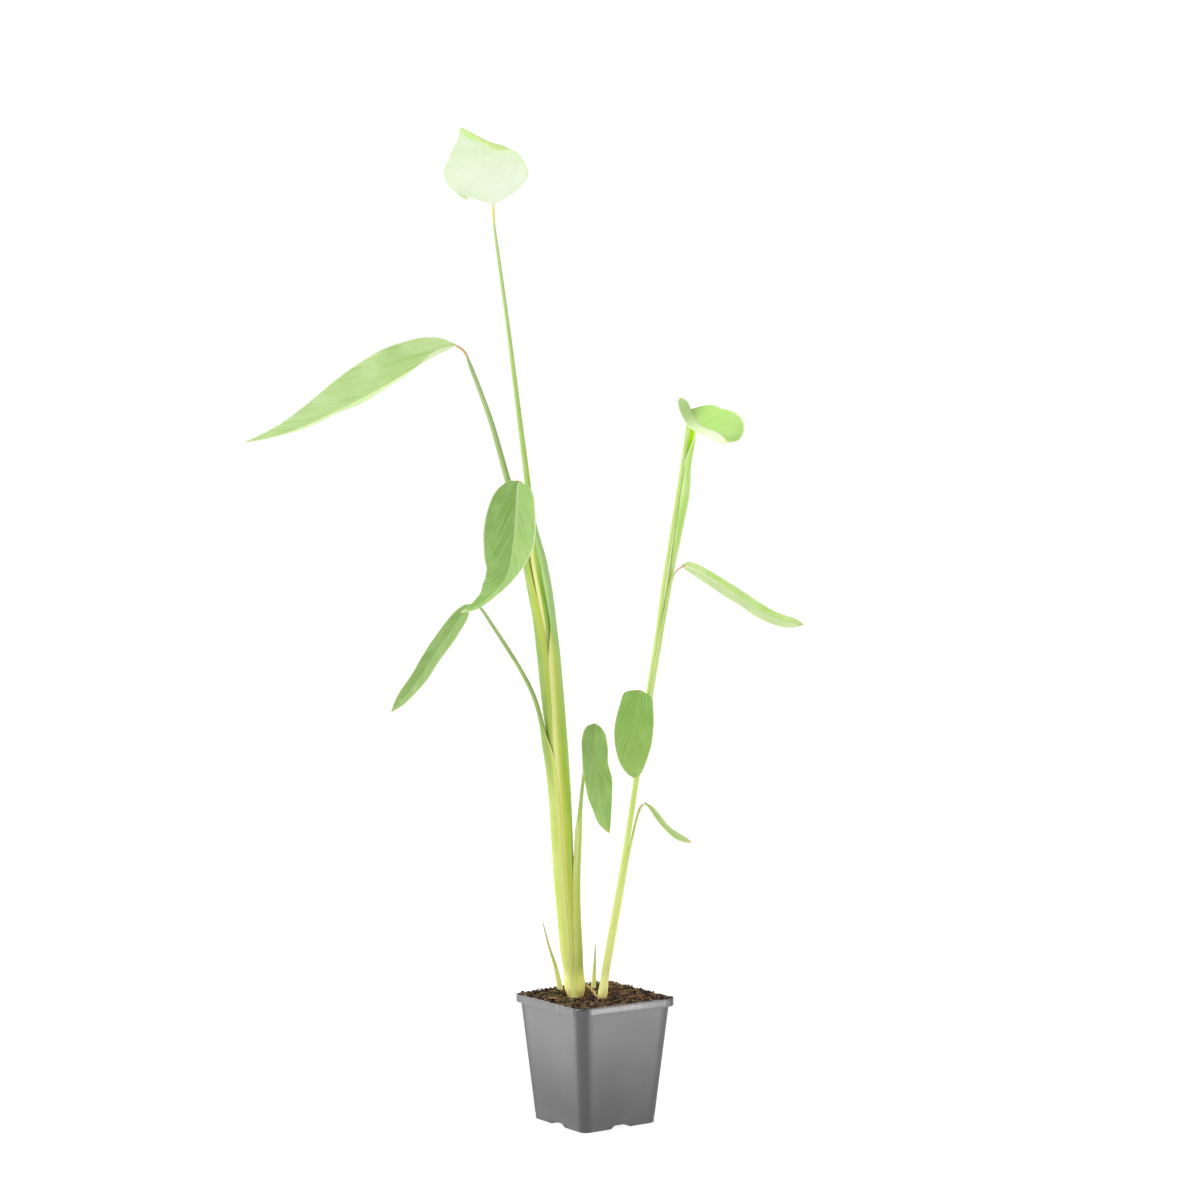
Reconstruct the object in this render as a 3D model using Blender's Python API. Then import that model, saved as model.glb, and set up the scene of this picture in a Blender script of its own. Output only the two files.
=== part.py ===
# A young thalia in a square nursery pot: two leafy shoots, two new sprouts and a surface root
# stand in a block of potting soil. Lengths below are millimetres and angles are degrees.
#
# The pot stands square to X and Y with the middle of its base at the origin. The plant is
# described in its own face frame, where +X is the plant's right, +Y its back and +Z up, and
# an empty turns that frame against the pot.
import math

import bmesh
import bpy
from mathutils import Vector, noise

MM = 0.001
GAP = 0.3
PLANT_TURN = -35.55

# The pot's outer wall, its rim band and its floor
POT_HEIGHT = 94.0
RIM_HALF = 45.0
RIM_BAND = 6.0
BODY_TOP_HALF = 42.1
BODY_BASE_HALF = 33.8
RIM_CORNER = 8.0
BODY_CORNER = 7.0
BASE_CORNER = 6.0
POT_WALL = 1.2
FLOOR = 1.4
EDGE_ROUND = 0.5
RIM_LIP = 1.5
RIM_SLOPE = 0.8
CREASE_HEIGHT = 4.6
CREASE_STEP = 0.25

# The drainage channels under the four edges of the floor
CHANNEL_WIDTH = 18.0
CHANNEL_SLANT = 3.0
CHANNEL_HEIGHT = 2.5
CHANNEL_DEPTH = 12.0
DRAIN_RADIUS = 3.0

# The soil's top, which is crumbly and rises to the back of the plant
SOIL_EDGE_HEIGHT = 93.6
SOIL_EDGE_HALF = 42.5
SOIL_BACK_RISE = 2.8
SOIL_CRUMB = 1.5
SOIL_CRUMB_SIZE = 5.0
SOIL_CLEARANCE = 0.5
SOIL_SPOKES = 60
SOIL_RINGS = 11
STEM_FOOT = 74.0
HOLE_CLEARANCE = 0.7
HOLE_BELOW = 0.6
SPROUT_FOOT = 80.0
HOLE_SIDES = 18

# How finely the grown pieces are cut
HALF_SECTION = 7
ROUND_SIDES = 8
SHEATH_STEP = 17.0
STALK_STEP = 10.0
PARTING_GAP = 3.0
BLADE_STATIONS = 17
BLADE_SPREAD = (0.0, 0.36, 0.68, 0.87, 1.0)
CURL_FROM = 0.65
SHEATH_MARGIN = 0.8
BLADE_MARGIN = 0.7
BLADE_MIDRIB = 1.3

# The middle line of the main shoot, which is also the stalk of its youngest leaf
MAIN_ROUTE = [
    (-13.4, 0, 74), (-15.2, 0, 96), (-16.1, 0, 107), (-18.4, 0, 128), (-21.2, 1, 162),
    (-23.2, 1, 185), (-26.6, 2, 242), (-29.4, 2, 287), (-33.1, 3, 332), (-36.9, 4, 375),
    (-39.4, 5, 395), (-43.3, 6, 423), (-46.8, 8, 450), (-51.3, 10, 485), (-58.1, 14, 538),
    (-63.9, 17, 584), (-70.2, 20, 631), (-76.0, 22, 672), (-77.7, 22, 688), (-77.6, 20.5, 695.5),
]
MAIN_RADIUS = [
    (74, 2.2), (96, 2.4), (128, 2.8), (190, 3.0), (300, 3.0), (355, 2.7), (412, 2.4),
    (492, 2.2), (540, 1.9), (600, 1.6), (660, 1.3), (680, 1.0), (688, 1.25), (696, 1.1),
]

# The middle line of the second shoot, which is also the stalk of its top leaf
SECOND_ROUTE = [
    (2.6, -9, 76), (5.4, -9, 97), (8.1, -9, 117), (16.3, -9, 163), (22.2, -8, 197),
    (29.1, -7, 242), (36.9, -6, 295), (42.7, -5, 333), (47.9, -4, 367), (52.2, -3, 401),
    (57.4, -1, 435), (62.6, 0, 469), (67.6, 1, 503), (70.4, 1.5, 524), (72.0, 0, 534),
    (72.3, -3, 537),
]
SECOND_RADIUS = [
    (76, 2.3), (97, 2.9), (105, 2.4), (163, 2.4), (197, 2.2), (254, 2.1), (333, 2.3),
    (401, 2.1), (435, 1.9), (480, 1.6), (524, 1.3), (530, 1.6), (537, 1.0),
]

# Leaf sheaths, innermost first. Start and end are the margins' directions round the shoot,
# with 0 to the plant's right, 180 to its left and 270 to its front; keel is the thickness
# in the middle. Each list runs up the shoot as pairs of height and value.
SHEATHS = {
    "leaf_b": dict(
        shoot="main", facing=180,
        start=[(74, 70), (300, 75), (430, 100)],
        end=[(74, 290), (300, 285), (380, 276), (393, 266), (412, 252), (445, 225)],
        inner=[(74, 2.5), (96, 2.7), (128, 3.1), (190, 3.3), (300, 3.3), (355, 3.0), (430, 2.7)],
        keel=[(74, 1.2), (107, 1.3), (190, 1.6), (262, 1.6), (276, 2.6), (287, 3.4), (310, 5.2),
              (355, 6.3), (375, 7.0), (430, 8.6)],
    ),
    "leaf_c": dict(
        shoot="main", facing=0,
        start=[(74, -125), (285, -116), (333, -102), (352, -92), (362, -80), (370, -55)],
        end=[(74, 110), (226, 106), (300, 102), (370, 80), (420, 60)],
        inner=[(74, 3.7), (96, 3.9), (128, 4.4), (190, 4.7), (285, 5.1), (333, 5.1), (355, 4.9),
               (375, 4.0), (430, 3.6)],
        keel=[(74, 1.9), (107, 2.0), (128, 2.9), (185, 3.0), (242, 4.2), (300, 3.8), (355, 4.0),
              (420, 4.2)],
    ),
    "leaf_d": dict(
        shoot="main", facing=184,
        start=[(74, 84), (205, 90), (228, 122), (292, 140), (305, 155)],
        end=[(74, 272), (240, 266), (262, 248), (292, 225), (305, 215)],
        inner=[(74, 5.1), (107, 5.2), (128, 5.9), (162, 6.2), (242, 6.5), (274, 6.5), (290, 7.4),
               (305, 8.8)],
        keel=[(74, 1.3), (92, 1.6), (98, 2.7), (107, 1.2), (128, 1.8), (242, 1.7), (262, 2.5),
              (284, 3.8), (305, 5.6)],
    ),
    "leaf_e": dict(
        shoot="main", facing=-4,
        start=[(74, -72), (165, -66), (190, -54), (234, -44)],
        end=[(74, 66), (165, 60), (190, 48), (234, 38)],
        inner=[(74, 6.1), (96, 6.4), (107, 6.6), (128, 7.8), (162, 8.2), (200, 8.5), (230, 9.0)],
        keel=[(74, 1.6), (92, 1.7), (98, 2.3), (107, 1.5), (128, 1.7), (162, 2.4), (188, 4.0),
              (215, 6.3), (234, 7.5)],
    ),
    "leaf_h": dict(
        shoot="second", facing=0,
        start=[(300, -40), (320, -80), (405, -70)],
        end=[(300, 40), (320, 80), (405, 70)],
        inner=[(300, 2.6), (333, 2.6), (405, 2.6)],
        keel=[(300, 0.8), (333, 0.9), (367, 1.3), (405, 2.4)],
    ),
    "leaf_i": dict(
        shoot="second", facing=215,
        start=[(263, 175), (272, 140), (310, 150)],
        end=[(263, 255), (272, 290), (310, 280)],
        inner=[(263, 2.5), (310, 2.6)],
        keel=[(263, 0.8), (280, 1.0), (310, 1.8)],
    ),
    "leaf_j": dict(
        shoot="second", facing=0,
        start=[(76, -85), (190, -70), (222, -50)],
        end=[(76, 85), (190, 70), (222, 50)],
        inner=[(76, 2.7), (90, 3.1), (97, 3.3), (105, 2.8), (163, 2.7), (222, 2.6)],
        keel=[(76, 1.0), (97, 1.2), (163, 1.1), (197, 1.0), (222, 1.4)],
    ),
}

# Free stalks of the sheathed leaves. Parting is the stretch of height over which the sheath
# turns into a round stalk; width is pairs of the share of the way along and the radius.
STALKS = {
    "leaf_b": dict(
        parting=(385, 452),
        route=[
            (-35.5, 1, 300), (-39.2, 1.5, 330), (-42.5, 2, 358), (-47.2, 3, 390),
            (-50.6, 4, 412), (-54.3, 5, 433), (-59.0, 8, 455), (-64.4, 9, 477),
            (-71.0, 11, 502), (-78.2, 12, 527), (-86.3, 13, 550), (-95.1, 14, 573),
            (-97.9, 14, 580.5), (-101.6, 13.5, 585), (-105.4, 13, 587),
        ],
        width=[(0, 2.9), (0.42, 2.9), (0.7, 2.2), (0.93, 1.6), (0.95, 1.3), (0.98, 1.6), (1, 1.1)],
    ),
    "leaf_c": dict(
        parting=(345, 408),
        route=[
            (-25.2, 0, 300), (-28.8, -0.5, 352), (-33.3, -1, 391), (-36.7, -3, 412),
            (-39.0, -4.5, 424), (-41.9, -6.5, 435), (-44.9, -9, 446), (-47.6, -11.5, 458),
            (-51.3, -15, 470), (-54.4, -18, 479), (-56.1, -21, 482.6), (-56.6, -23.5, 482.4),
        ],
        width=[(0, 3.0), (0.55, 2.9), (0.8, 2.2), (0.93, 1.7), (0.97, 1.9), (1, 1.2)],
    ),
    "leaf_d": dict(
        parting=(268, 305),
        route=[
            (-33.4, 0, 226), (-34.4, -1, 253), (-37.2, -2, 276), (-41.4, -3, 298),
            (-48.5, -5, 321.5), (-59.1, -7, 344), (-72.2, -9, 367), (-79.7, -10, 378.5),
            (-85.2, -11, 386.6), (-88.6, -12, 389.6), (-92.0, -13, 389.4),
        ],
        width=[(0, 1.8), (0.4, 1.8), (0.85, 1.4), (0.93, 1.3), (0.97, 1.6), (1, 1.0)],
    ),
    "leaf_e": dict(
        parting=(188, 234),
        route=[
            (-13.0, -1, 164), (-12.3, -2, 190), (-11.2, -4, 216), (-10.0, -7, 243),
            (-7.8, -9, 262), (-4.8, -12, 281), (-1.9, -15, 294.5), (0.0, -18, 299.5),
            (0.9, -21, 300.2),
        ],
        width=[(0, 1.8), (0.5, 1.6), (0.85, 1.3), (0.93, 1.6), (1, 1.0)],
    ),
    "leaf_h": dict(
        parting=(367, 404),
        route=[
            (51.1, -4, 367), (54.0, -3.5, 387), (56.5, -3, 401), (58.4, -2.8, 409),
            (60.7, -2.5, 413.8), (63.6, -1.8, 416.9), (65.9, -0.9, 418.3),
        ],
        width=[(0, 1.5), (0.5, 1.6), (0.7, 1.3), (0.85, 1.5), (1, 1.0)],
    ),
    "leaf_i": dict(
        parting=(280, 306),
        route=[
            (32.0, -9.5, 280), (32.6, -12.5, 300), (33.4, -15, 314), (33.9, -17.5, 322),
            (34.0, -20.5, 325.4), (33.9, -22.6, 325.2),
        ],
        width=[(0, 1.4), (0.6, 1.2), (0.85, 1.5), (1, 1.0)],
    ),
    "leaf_j": dict(
        parting=(190, 222),
        route=[
            (23.6, -8, 190), (26.4, -7, 204), (30.2, -5, 222), (33.0, -3.5, 232.5),
            (34.9, -3, 237), (37.0, -2.6, 239.2),
        ],
        width=[(0, 1.2), (0.5, 1.0), (0.8, 0.9), (0.9, 1.2), (1, 0.9)],
    ),
}

# Leaf blades. The midrib's points start at the stalk's end. Facing is where the upper face
# looks. Left and right are the half widths along the blade, seen from above with the base
# near and the tip far. Lift turns a half up from flat, bow bends it on towards its margin
# and curl turns the margin itself, in degrees. Lists are pairs of the share of the length
# and a value.
BLADES = {
    "leaf_a": dict(
        midrib=[(-77.7, 19.5, 696.5), (-78.4, 0, 702.9), (-80.2, -25, 708.9), (-83.6, -60, 714.9),
                (-88.2, -95, 720.4), (-93.6, -124, 725.2)],
        facing=(0.0, 0.3, 1.0), waves=(1.0, 3.0),
        left=[(0, 1.2), (0.04, 8), (0.1, 16), (0.2, 25), (0.33, 31.5), (0.45, 32.5), (0.6, 28.5),
              (0.73, 19.5), (0.86, 10.5), (1, 0.5)],
        right=[(0, 1.2), (0.06, 20), (0.1, 27), (0.2, 31.5), (0.32, 32), (0.45, 28.5),
               (0.6, 21.5), (0.8, 11), (0.92, 4.5), (1, 0.5)],
        left_turn=dict(lift=[(0, 8)], bow=[(0, -6)], curl=[(0, 0), (0.4, 0), (0.6, -70), (1, -80)]),
        right_turn=dict(lift=[(0, 8)], bow=[(0, -6)], curl=[(0, -20)]),
    ),
    "leaf_b": dict(
        midrib=[(-106.4, 12.9, 587.4), (-114, 11.5, 583.4), (-125.2, 9, 577.4), (-136.4, 6, 570.3),
                (-158.7, 1, 556.2), (-184.8, -3, 541.5), (-221.9, -8, 523), (-259.3, -10, 512.5)],
        facing=(0.0, -0.66, 0.75), waves=(0.8, 4.0),
        left=[(0, 1.2), (0.05, 8), (0.15, 15), (0.3, 18), (0.45, 17), (0.6, 13.5), (0.8, 7.5),
              (1, 0.5)],
        right=[(0, 1.2), (0.03, 9), (0.08, 15), (0.15, 20.5), (0.27, 25), (0.4, 25.5),
               (0.52, 22.5), (0.65, 17), (0.78, 11), (0.9, 5.5), (1, 0.5)],
        left_turn=dict(lift=[(0, 60), (0.15, 50), (0.35, 33), (1, 33)], bow=[(0, 0)], curl=[(0, 0)]),
        right_turn=dict(lift=[(0, 30)], bow=[(0, 6)], curl=[(0, 0)]),
    ),
    "leaf_c": dict(
        midrib=[(-56.3, -25, 481.4), (-57.3, -29, 475.2), (-58.8, -38, 445.2), (-61.6, -42, 422.9),
                (-64.5, -44, 411.9), (-69.6, -46, 403.7), (-74.8, -46, 398.5), (-80.7, -46, 393.4),
                (-88.8, -46, 388.2), (-98.4, -45, 384.5)],
        facing=(0.0, -1.0, 0.15), waves=(0.6, 3.0),
        left=[(0, 1.2), (0.03, 7), (0.08, 11.5), (0.16, 13.9), (0.42, 15.6), (0.51, 12.6),
              (0.62, 6.6), (0.72, 3.8), (0.91, 2.6), (1, 0.5)],
        right=[(0, 1.2), (0.03, 9), (0.08, 15.5), (0.16, 20), (0.3, 23.3), (0.42, 23),
               (0.61, 17.8), (0.76, 11), (0.82, 6.7), (0.91, 3.3), (1, 0.5)],
        left_turn=dict(lift=[(0, 12)], bow=[(0, 0)], curl=[(0, 0)]),
        right_turn=dict(lift=[(0, 12)], bow=[(0, 0)], curl=[(0, 0)]),
    ),
    "leaf_d": dict(
        midrib=[(-93.3, -13.5, 389.2), (-96.5, -14.5, 386.5), (-102.0, -16, 378.4),
                (-117.9, -19, 355.9), (-132.4, -21, 333.5), (-151.9, -20, 309.6)],
        facing=(-0.1, -0.98, 0.1), waves=(0.9, 5.0),
        left=[(0, 1.2), (0.04, 4), (0.12, 7), (0.3, 8), (0.5, 7.7), (0.7, 6.6), (0.88, 4.6),
              (1, 0.5)],
        right=[(0, 1.2), (0.04, 4), (0.12, 7), (0.3, 8), (0.5, 7.7), (0.7, 6.6), (0.88, 4.6),
               (1, 0.5)],
        left_turn=dict(lift=[(0, 32)], bow=[(0, 0)], curl=[(0, 0)]),
        right_turn=dict(lift=[(0, 32)], bow=[(0, 0)], curl=[(0, 0)]),
    ),
    "leaf_e": dict(
        midrib=[(1.5, -22.5, 299.9), (1.3, -23.6, 299.1), (0.4, -26, 292.7), (0.4, -28, 281.7),
                (1.5, -29, 270.6), (3.3, -29, 255.7), (6.3, -28, 240.7), (10.8, -26.5, 219.7)],
        facing=(0.05, -1.0, 0.1), waves=(1.0, 4.0),
        left=[(0, 1.2), (0.04, 5), (0.1, 8.2), (0.23, 9.6), (0.37, 9), (0.55, 10.4), (0.74, 6.7),
              (0.9, 3.2), (1, 0.5)],
        right=[(0, 1.2), (0.04, 7), (0.1, 9.3), (0.23, 10.4), (0.55, 10.4), (0.74, 8.9),
               (0.9, 6), (1, 0.5)],
        left_turn=dict(lift=[(0, 12)], bow=[(0, 0)], curl=[(0, 0)]),
        right_turn=dict(lift=[(0, 12)], bow=[(0, 0)], curl=[(0, 0)]),
    ),
    "leaf_f": dict(
        midrib=[(72.7, -4.7, 536.7), (74.7, -14, 531.5), (79, -34, 522.5), (86.7, -60, 516.9),
                (90.7, -80, 512.9), (92.8, -95, 509.3), (94.5, -104, 505.8)],
        facing=(0.0, -0.1, 1.0), waves=(0.5, 3.0),
        left=[(0, 1.2), (0.04, 9), (0.12, 16), (0.3, 21.5), (0.5, 23), (0.68, 21), (0.85, 15),
              (0.95, 9), (1, 2)],
        right=[(0, 1.2), (0.03, 10), (0.07, 17.5), (0.12, 16), (0.2, 12), (0.35, 10),
               (0.55, 9), (0.8, 8), (0.93, 5), (1, 1)],
        left_turn=dict(lift=[(0, 38), (0.4, 36), (0.6, 30), (0.8, 12), (0.92, -5), (1, -10)],
                       bow=[(0, 0)], curl=[(0, 0)]),
        right_turn=dict(lift=[(0, 46), (0.08, 44), (0.15, 22), (0.22, 0), (0.35, -28), (0.5, -48),
                              (1, -50)], bow=[(0, 0)], curl=[(0, 0), (0.2, 0), (0.4, -90)]),
    ),
    "leaf_h": dict(
        midrib=[(67.1, -0.9, 419.1), (73.6, -2.6, 417.0), (79.6, -4, 414.1), (92.2, -8, 406.2),
                (109.3, -13, 395.2), (127.7, -18, 383), (139.5, -20, 378.2), (155.8, -22, 375)],
        facing=(0.1, -0.95, 0.2), waves=(0.5, 4.0),
        left=[(0, 1.0), (0.05, 4.2), (0.2, 5.8), (0.5, 6.0), (0.8, 5.6), (0.93, 4.2), (1, 0.6)],
        right=[(0, 1.0), (0.05, 4.5), (0.2, 6.8), (0.5, 7.3), (0.8, 6.8), (0.93, 5), (1, 0.6)],
        left_turn=dict(lift=[(0, 40)], bow=[(0, 0)], curl=[(0, 0)]),
        right_turn=dict(lift=[(0, 40)], bow=[(0, 0)], curl=[(0, 0)]),
    ),
    "leaf_i": dict(
        midrib=[(33.9, -24.1, 324.9), (33.4, -25.4, 322.5), (32, -27, 315.1), (30.1, -29.5, 300.4),
                (29.4, -30.5, 285.5), (29.8, -30, 270.6), (30.1, -29.5, 260.9)],
        facing=(0.0, -1.0, 0.1), waves=(0.4, 3.0),
        left=[(0, 1.2), (0.02, 6), (0.06, 10), (0.17, 12.2), (0.4, 14.1), (0.6, 13.2),
              (0.75, 10.5), (0.87, 7.3), (0.95, 4.5), (1, 1)],
        right=[(0, 1.2), (0.02, 7), (0.06, 11.5), (0.17, 13), (0.4, 15.2), (0.6, 14.6),
               (0.75, 12.6), (0.87, 9.3), (0.95, 5.5), (1, 1)],
        left_turn=dict(lift=[(0, 12)], bow=[(0, 0)], curl=[(0, 0)]),
        right_turn=dict(lift=[(0, 12)], bow=[(0, 0)], curl=[(0, 0)]),
    ),
    "leaf_j": dict(
        midrib=[(38.3, -2.9, 239.3), (43, -4, 235.6), (49, -5, 228.6), (55, -5.5, 221.2),
                (62, -6, 214.8), (72.2, -6, 210.4)],
        facing=(0.5, -0.7, 0.5), waves=(0.3, 2.0),
        left=[(0, 0.9), (0.1, 2.6), (0.4, 4), (0.7, 4), (0.9, 2.6), (1, 0.6)],
        right=[(0, 0.9), (0.1, 2.6), (0.4, 4), (0.7, 4), (0.9, 2.6), (1, 0.6)],
        left_turn=dict(lift=[(0, 30), (1, -20)], bow=[(0, 0)], curl=[(0, 0)]),
        right_turn=dict(lift=[(0, 30), (1, 60)], bow=[(0, 0)], curl=[(0, 0)]),
    ),
}

# The young leaf that is still rolled, beside the top stalk of the second shoot
ROLLED_ROUTE = [
    (56.6, 1.2, 404), (58.2, 0.8, 413), (59.9, 0.2, 423), (62.2, 0, 435), (64.1, 0, 446),
    (66.2, 0.2, 457.5), (68.2, 0.5, 469), (69.7, 1, 481), (70.6, 1, 492), (72.2, 1, 503),
    (73.9, 1, 515), (75.2, 1, 526),
]
ROLLED_RADIUS = [
    (404, 1.1), (413, 1.7), (423, 2.2), (435, 2.7), (446, 3.0), (458, 3.4), (469, 3.7), (481, 3.5),
    (492, 2.6), (503, 2.7), (515, 3.0), (526, 3.0),
]
ROLLED_START = [(404, -165), (492, -165), (503, -140), (515, -70), (526, -10)]
ROLLED_END = [(404, 150), (526, 150)]
ROLLED_WALL = 0.7

# Two new shoots as spears, each from its foot in the soil to its tip
SPROUTS = {
    "left_sprout": dict(
        route=[(-24.0, 20, 80), (-26.1, 19, 95), (-30.2, 17.5, 114), (-34.9, 16, 129),
               (-39.4, 14, 147)],
        width=[(0, 1.9), (0.3, 2.1), (0.6, 1.2), (1, 0.35)],
    ),
    "middle_sprout": dict(
        route=[(-1.2, 26, 80), (-0.9, 26, 96), (-0.1, 26, 112), (0.5, 26, 129)],
        width=[(0, 1.8), (0.4, 1.9), (0.7, 1.0), (1, 0.35)],
    ),
}

# A tan root that crosses the soil between the feet of the two shoots
ROOT_ROUTE = [(-6.3, -1.2, 101.9), (-4.2, -2.4, 100.9), (-2.2, -4.5, 99.3), (0.0, -8, 97.5),
              (1.2, -13, 96.2), (3.2, -16, 95.5), (5.4, -17.8, 94.2)]
ROOT_RADIUS = 1.1

GREEN = {
    "pale_blade": (0.60, 0.72, 0.42, 1),
    "blade": (0.28, 0.45, 0.12, 1),
    "stalk": (0.32, 0.46, 0.16, 1),
    "young": (0.45, 0.60, 0.18, 1),
}


def clear_scene():
    for item in list(bpy.data.objects):
        bpy.data.objects.remove(item, do_unlink=True)


def surface(name, colour, roughness):
    material = bpy.data.materials.get(name) or bpy.data.materials.new(name)
    material.use_nodes = True
    shader = material.node_tree.nodes["Principled BSDF"]
    shader.inputs["Base Color"].default_value = colour
    shader.inputs["Roughness"].default_value = roughness
    shader.inputs["Metallic"].default_value = 0.0
    return material


def value_at(pairs, place):
    # The value of a list of (place, value) pairs, straight between neighbours
    if place <= pairs[0][0]:
        return pairs[0][1]
    for (low, first), (high, second) in zip(pairs, pairs[1:]):
        if place <= high:
            return first + (second - first) * (place - low) / (high - low)
    return pairs[-1][1]


def ease(share):
    share = min(max(share, 0.0), 1.0)
    return share * share * (3 - 2 * share)


def curve_through(points, step):
    # Evenly spaced points on the smooth curve through the given ones
    points = [Vector(point) for point in points]
    padded = [2 * points[0] - points[1]] + points + [2 * points[-1] - points[-2]]
    fine = [points[0]]
    for before, start, end, after in zip(padded, padded[1:], padded[2:], padded[3:]):
        for count in range(1, 13):
            t = count / 12
            fine.append(0.5 * (2 * start + (end - before) * t
                               + (2 * before - 5 * start + 4 * end - after) * t ** 2
                               + (3 * start - before - 3 * end + after) * t ** 3))
    lengths = [0.0]
    for first, second in zip(fine, fine[1:]):
        lengths.append(lengths[-1] + (second - first).length)
    count = max(2, math.ceil(lengths[-1] / step))
    places = []
    index = 0
    for number in range(count + 1):
        target = lengths[-1] * number / count
        while index < len(fine) - 2 and lengths[index + 1] < target:
            index += 1
        share = (target - lengths[index]) / (lengths[index + 1] - lengths[index])
        places.append(fine[index].lerp(fine[index + 1], share))
    return places


def directions_along(places):
    ends = [places[0]] + places + [places[-1]]
    return [(after - before).normalized() for before, after in zip(ends, ends[2:])]


def point_at_height(places, height):
    # The point of a rising line at the given height, run on straight past its ends
    pairs = list(zip(places, places[1:]))
    for low, high in pairs:
        if height <= high.z:
            break
    return low.lerp(high, (height - low.z) / (high.z - low.z))


def mesh_object(name, corners, faces, material, parent=None, smooth=True):
    mesh = bpy.data.meshes.new(name)
    mesh.from_pydata([corner * MM for corner in corners], [], faces)
    shape = bmesh.new()
    shape.from_mesh(mesh)
    bmesh.ops.recalc_face_normals(shape, faces=shape.faces)
    bmesh.ops.triangulate(shape, faces=[face for face in shape.faces if len(face.verts) > 4])
    shape.to_mesh(mesh)
    shape.free()
    if smooth:
        mesh.shade_smooth()
        mesh.set_sharp_from_angle(angle=math.radians(50))
    item = bpy.data.objects.new(name, mesh)
    bpy.context.scene.collection.objects.link(item)
    item.parent = parent
    if material:
        mesh.materials.append(material)
    return item


def cutter(item):
    item.display_type = "WIRE"
    item.hide_render = True
    return item


def skin_rings(rings, paired_caps=True):
    # Faces round a stack of equal rings. A paired cap joins the ring's first half to its
    # second half, which suits both a round section and a crescent one.
    count = len(rings[0])
    corners = [corner for ring in rings for corner in ring]
    faces = []
    for row in range(len(rings) - 1):
        for index in range(count):
            after = (index + 1) % count
            low, high = row * count, (row + 1) * count
            faces.append((low + index, low + after, high + after))
            faces.append((low + index, high + after, high + index))
    last = (len(rings) - 1) * count
    if not paired_caps:
        faces.append(tuple(range(count)))
        faces.append(tuple(range(last, last + count)))
        return corners, faces
    for first in (0, last):
        for index in range(count // 2 - 1):
            other = count - 1 - index
            quad = (first + index, first + index + 1, first + other - 1, first + other)
            if index == count // 2 - 2 and other - 1 == index + 1:
                quad = quad[:2] + quad[3:]
            faces.append(quad)
    return corners, faces


def round_rings(places, radii, out, sides):
    # Round sections square to a line, turned so that their first half faces out
    rings = []
    for place, along, radius in zip(places, directions_along(places), radii):
        out = (out - along * out.dot(along)).normalized()
        across = along.cross(out)
        ring = []
        for index in range(sides):
            turn = math.radians(-90 + (index + 0.5) * 360 / sides)
            ring.append(place + (out * math.cos(turn) + across * math.sin(turn)) * radius)
        rings.append(ring)
    return rings


def crescent_ring(centre, facing, start, end, inner, keel, margin):
    # A horizontal crescent round the centre: its outer row from start to end, then back
    step = (end - start) / (HALF_SECTION - 1)
    inner = inner / math.cos(math.radians(step / 2))
    outer_row, inner_row = [], []
    for index in range(HALF_SECTION):
        angle = start + index * step
        reach = end - facing if angle > facing else facing - start
        share = math.cos(math.radians(90 * (angle - facing) / reach))
        wall = margin + (keel - margin) * share ** 3
        out = Vector((math.cos(math.radians(angle)), math.sin(math.radians(angle)), 0))
        outer_row.append(centre + out * (inner + wall))
        inner_row.append(centre + out * inner)
    return outer_row + inner_row[::-1]


def sheath_ring(sheath, middle, height):
    centre = point_at_height(middle, height)
    start, end, inner, keel = (
        value_at(sheath[key], height) for key in ("start", "end", "inner", "keel"))
    return crescent_ring(centre, sheath["facing"], start, end, inner, keel, SHEATH_MARGIN)


def sheathed_stalk(name, middle, material, frame):
    sheath, stalk = SHEATHS[name], STALKS[name]
    low, high = stalk["parting"]
    foot = sheath["start"][0][0]
    steps = max(1, round((low - foot) / SHEATH_STEP))
    rings = [sheath_ring(sheath, middle, foot + (low - foot) * count / steps)
             for count in range(steps + 1)]
    places = curve_through(stalk["route"], STALK_STEP)
    last = len(places) - 1
    radii = [value_at(stalk["width"], count / last) for count in range(last + 1)]
    out = Vector((math.cos(math.radians(sheath["facing"])),
                  math.sin(math.radians(sheath["facing"])), 0))
    round_parts = round_rings(places, radii, out, 2 * HALF_SECTION)
    for place, ring in zip(places, round_parts):
        if place.z < low + PARTING_GAP:
            continue
        share = ease((place.z - low) / (high - low))
        if share < 1:
            wrapped = sheath_ring(sheath, middle, place.z)
            ring = [first.lerp(second, share) for first, second in zip(wrapped, ring)]
        rings.append(ring)
    corners, faces = skin_rings(rings)
    return mesh_object(name + "_stalk", corners, faces, material, frame)


def core_stalk(name, route, radius, material, frame):
    places = curve_through(route, STALK_STEP * 1.3)
    radii = [value_at(radius, place.z) for place in places]
    rings = round_rings(places, radii, Vector((1, 0, 0)), ROUND_SIDES)
    corners, faces = skin_rings(rings)
    return mesh_object(name + "_stalk", corners, faces, material, frame)


def smooth_value(pairs, place):
    # The value of a smooth curve through (place, value) pairs
    if place <= pairs[0][0] or len(pairs) == 1:
        return pairs[0][1]
    for index in range(len(pairs) - 1):
        low, first = pairs[index]
        high, second = pairs[index + 1]
        if place <= high:
            span = high - low
            t = (place - low) / span
            below, before = pairs[max(index - 1, 0)]
            above, after = pairs[min(index + 2, len(pairs) - 1)]
            leave = (second - before) / (high - below) * span
            arrive = (after - first) / (above - low) * span
            return ((2 * t ** 3 - 3 * t ** 2 + 1) * first + (t ** 3 - 2 * t ** 2 + t) * leave
                    + (3 * t ** 2 - 2 * t ** 3) * second + (t ** 3 - t ** 2) * arrive)
    return pairs[-1][1]


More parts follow.
